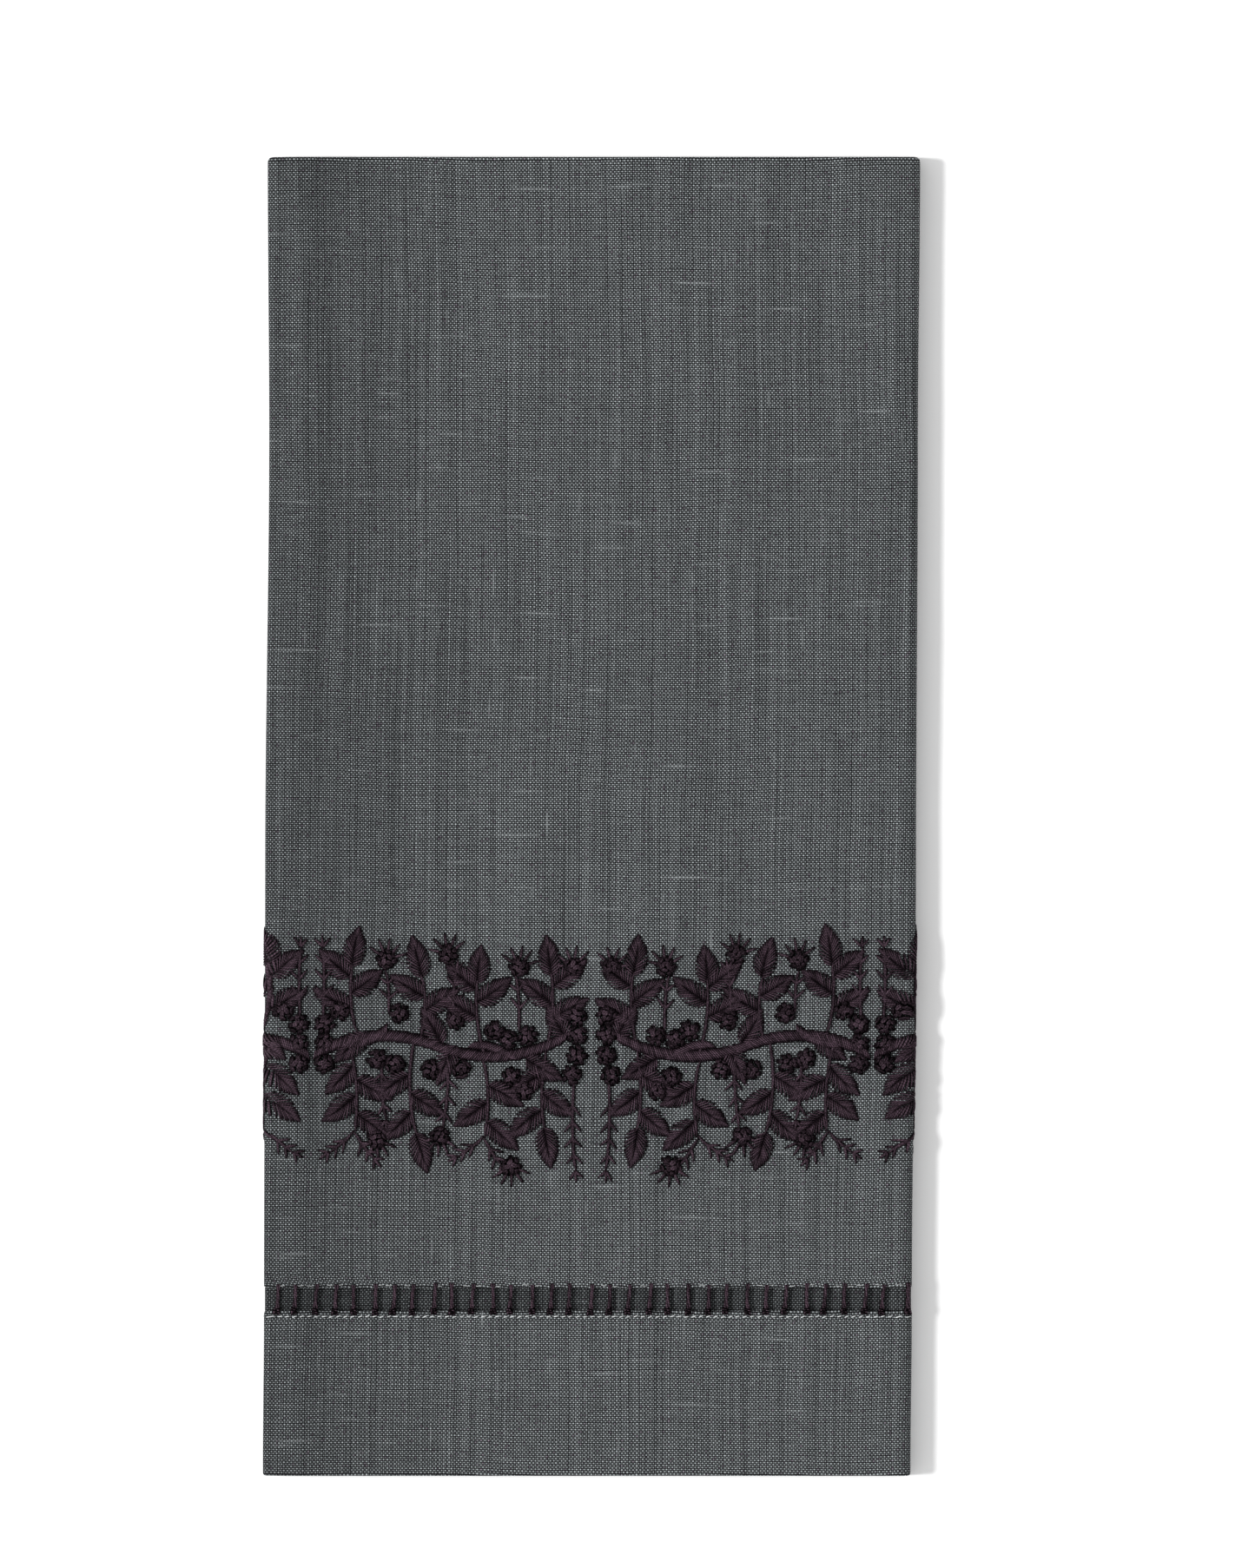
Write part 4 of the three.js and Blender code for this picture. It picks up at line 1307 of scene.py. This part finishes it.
class TOWEL_OT_border(bpy.types.Operator):
    """Embroiders the border of leaves, berries, boughs and twigs, on the front and on the flap under it"""

    bl_idname = "towel.border"
    bl_label = "Embroidered border"
    bl_options = {"REGISTER", "UNDO"}

    repeats = (-1, 0, 1)
    margin = 7.0

    def execute(self, context):
        thread = context.scene.towel_thread
        rng = np.random.default_rng(thread.seed + 2)
        stitches, knots, axes = [], [], []
        for repeat in self.repeats:
            for side in (-1, 1):
                work = Needlework(rng, thread.thickness / 2 / MM)
                work.half_repeat()
                centre = repeat * BORDER_REPEAT
                stitches.append(on_cloth(np.array(work.stitches), centre, side))
                knots.append(on_cloth(np.array(work.knots), centre, side))
                axes.append(np.array(work.knot_axes) * (side, 1, 1))
        stitches, knots, axes = np.concatenate(stitches), np.concatenate(knots), np.concatenate(axes)
        middle = FLAT_WIDTH / 2
        back = PANEL_END + RIGHT_ARC * BACK_FROM
        finish = finish_named("aubergine_thread", thread_finish, thread.colour, *AUBERGINE_LOOK)
        for name, low, high, side in (
            ("embroidery_left", LEFT_FLAP - self.margin, middle, "_left"),
            ("embroidery_right", middle, back, "_right"),
            ("embroidery_back", back, FLAT_WIDTH - self.margin, None),
        ):
            kept = self.between(stitches, low, high)
            kept_knots = self.between(knots, low, high)
            runs = (
                (stitches[kept], upright(kept.sum()), False, STITCH_LIGHT),
                (knots[kept_knots], axes[kept_knots], True, KNOT_LIGHT),
            )
            piece = thread_piece(name, runs, rng, finish)
            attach(piece, "root")
            if side:
                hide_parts(f"border{side}", f"edge_berries{side}")
        return {"FINISHED"}

    @staticmethod
    def between(lines, low, high):
        """Which lines have their middle between two places across the cloth."""
        u = lines[..., 0].mean(axis=1)
        return (u >= low) & (u < high)


class TOWEL_OT_stage(bpy.types.Operator):
    """Sets the plain floor, the soft light and the camera straight above"""

    bl_idname = "towel.stage"
    bl_label = "Floor, light and camera"
    bl_options = {"REGISTER", "UNDO"}

    view_middle = (0.00962, 0.00846)
    key_place = (-1.12, 0.0, 1.08)
    floor_size = 4
    floor_gap = 0.00005
    sensor = 36.0

    def execute(self, context):
        stage = context.scene.towel_stage
        deselect_all()
        bpy.ops.mesh.primitive_plane_add(size=self.floor_size, location=(0, 0, -self.floor_gap))
        bpy.ops.object.transform_apply(location=True, rotation=False, scale=False)
        floor = context.object
        floor.name = floor.data.name = "floor"
        floor.data.materials.append(finish_named("pale_floor", floor_finish, stage.floor_colour))

        bpy.ops.object.light_add(type="SUN", location=self.key_place)
        key = context.object
        key.name = key.data.name = "key_light"
        key.data.energy = stage.key_strength
        key.data.angle = stage.key_softness
        key.rotation_euler = key.location.to_track_quat("Z", "Y").to_euler()

        world = bpy.data.worlds.new("even_light")
        world.use_nodes = True
        background = world.node_tree.nodes["Background"]
        background.inputs["Color"].default_value = (1.0, 1.0, 1.0, 1.0)
        background.inputs["Strength"].default_value = stage.fill_strength
        context.scene.world = world

        bpy.ops.object.camera_add(location=(*self.view_middle, stage.camera_height), rotation=(0, 0, 0))
        camera = context.object
        camera.name = camera.data.name = "camera"
        camera.data.sensor_fit = "VERTICAL"
        camera.data.sensor_height = self.sensor
        camera.data.lens = self.sensor * (stage.camera_height - FRONT_TOP * MM) / stage.frame_height
        context.scene.camera = camera
        context.scene.view_settings.view_transform = "Standard"
        return {"FINISHED"}


PIECE_OPERATORS = (
    TOWEL_OT_cloth,
    TOWEL_OT_hem_band,
    TOWEL_OT_ladder,
    TOWEL_OT_hem_stitches,
    TOWEL_OT_border,
    TOWEL_OT_stage,
)


class TOWEL_PT_panel(bpy.types.Panel):
    """Lists the towel's pieces and settings"""

    bl_idname = "TOWEL_PT_panel"
    bl_label = "Folded towel"
    bl_space_type = "VIEW_3D"
    bl_region_type = "UI"
    bl_category = "Towel"

    def draw(self, context):
        column = self.layout.column()
        for operator in PIECE_OPERATORS:
            column.operator(operator.bl_idname)
        for settings in (context.scene.towel_cloth, context.scene.towel_thread, context.scene.towel_stage):
            for name in settings.__annotations__:
                column.prop(settings, name)


CLASSES = (TOWEL_PG_cloth, TOWEL_PG_thread, TOWEL_PG_stage, *PIECE_OPERATORS, TOWEL_PT_panel)


def register():
    for cls in CLASSES:
        bpy.utils.register_class(cls)
    bpy.types.Scene.towel_cloth = PointerProperty(type=TOWEL_PG_cloth)
    bpy.types.Scene.towel_thread = PointerProperty(type=TOWEL_PG_thread)
    bpy.types.Scene.towel_stage = PointerProperty(type=TOWEL_PG_stage)


def unregister():
    del bpy.types.Scene.towel_stage
    del bpy.types.Scene.towel_thread
    del bpy.types.Scene.towel_cloth
    for cls in reversed(CLASSES):
        bpy.utils.unregister_class(cls)


def main():
    register()
    bpy.ops.towel.cloth()
    bpy.ops.towel.hem_band()
    bpy.ops.towel.ladder()
    bpy.ops.towel.hem_stitches()
    bpy.ops.towel.border()
    bpy.ops.towel.stage()


if __name__ == "__main__":
    main()
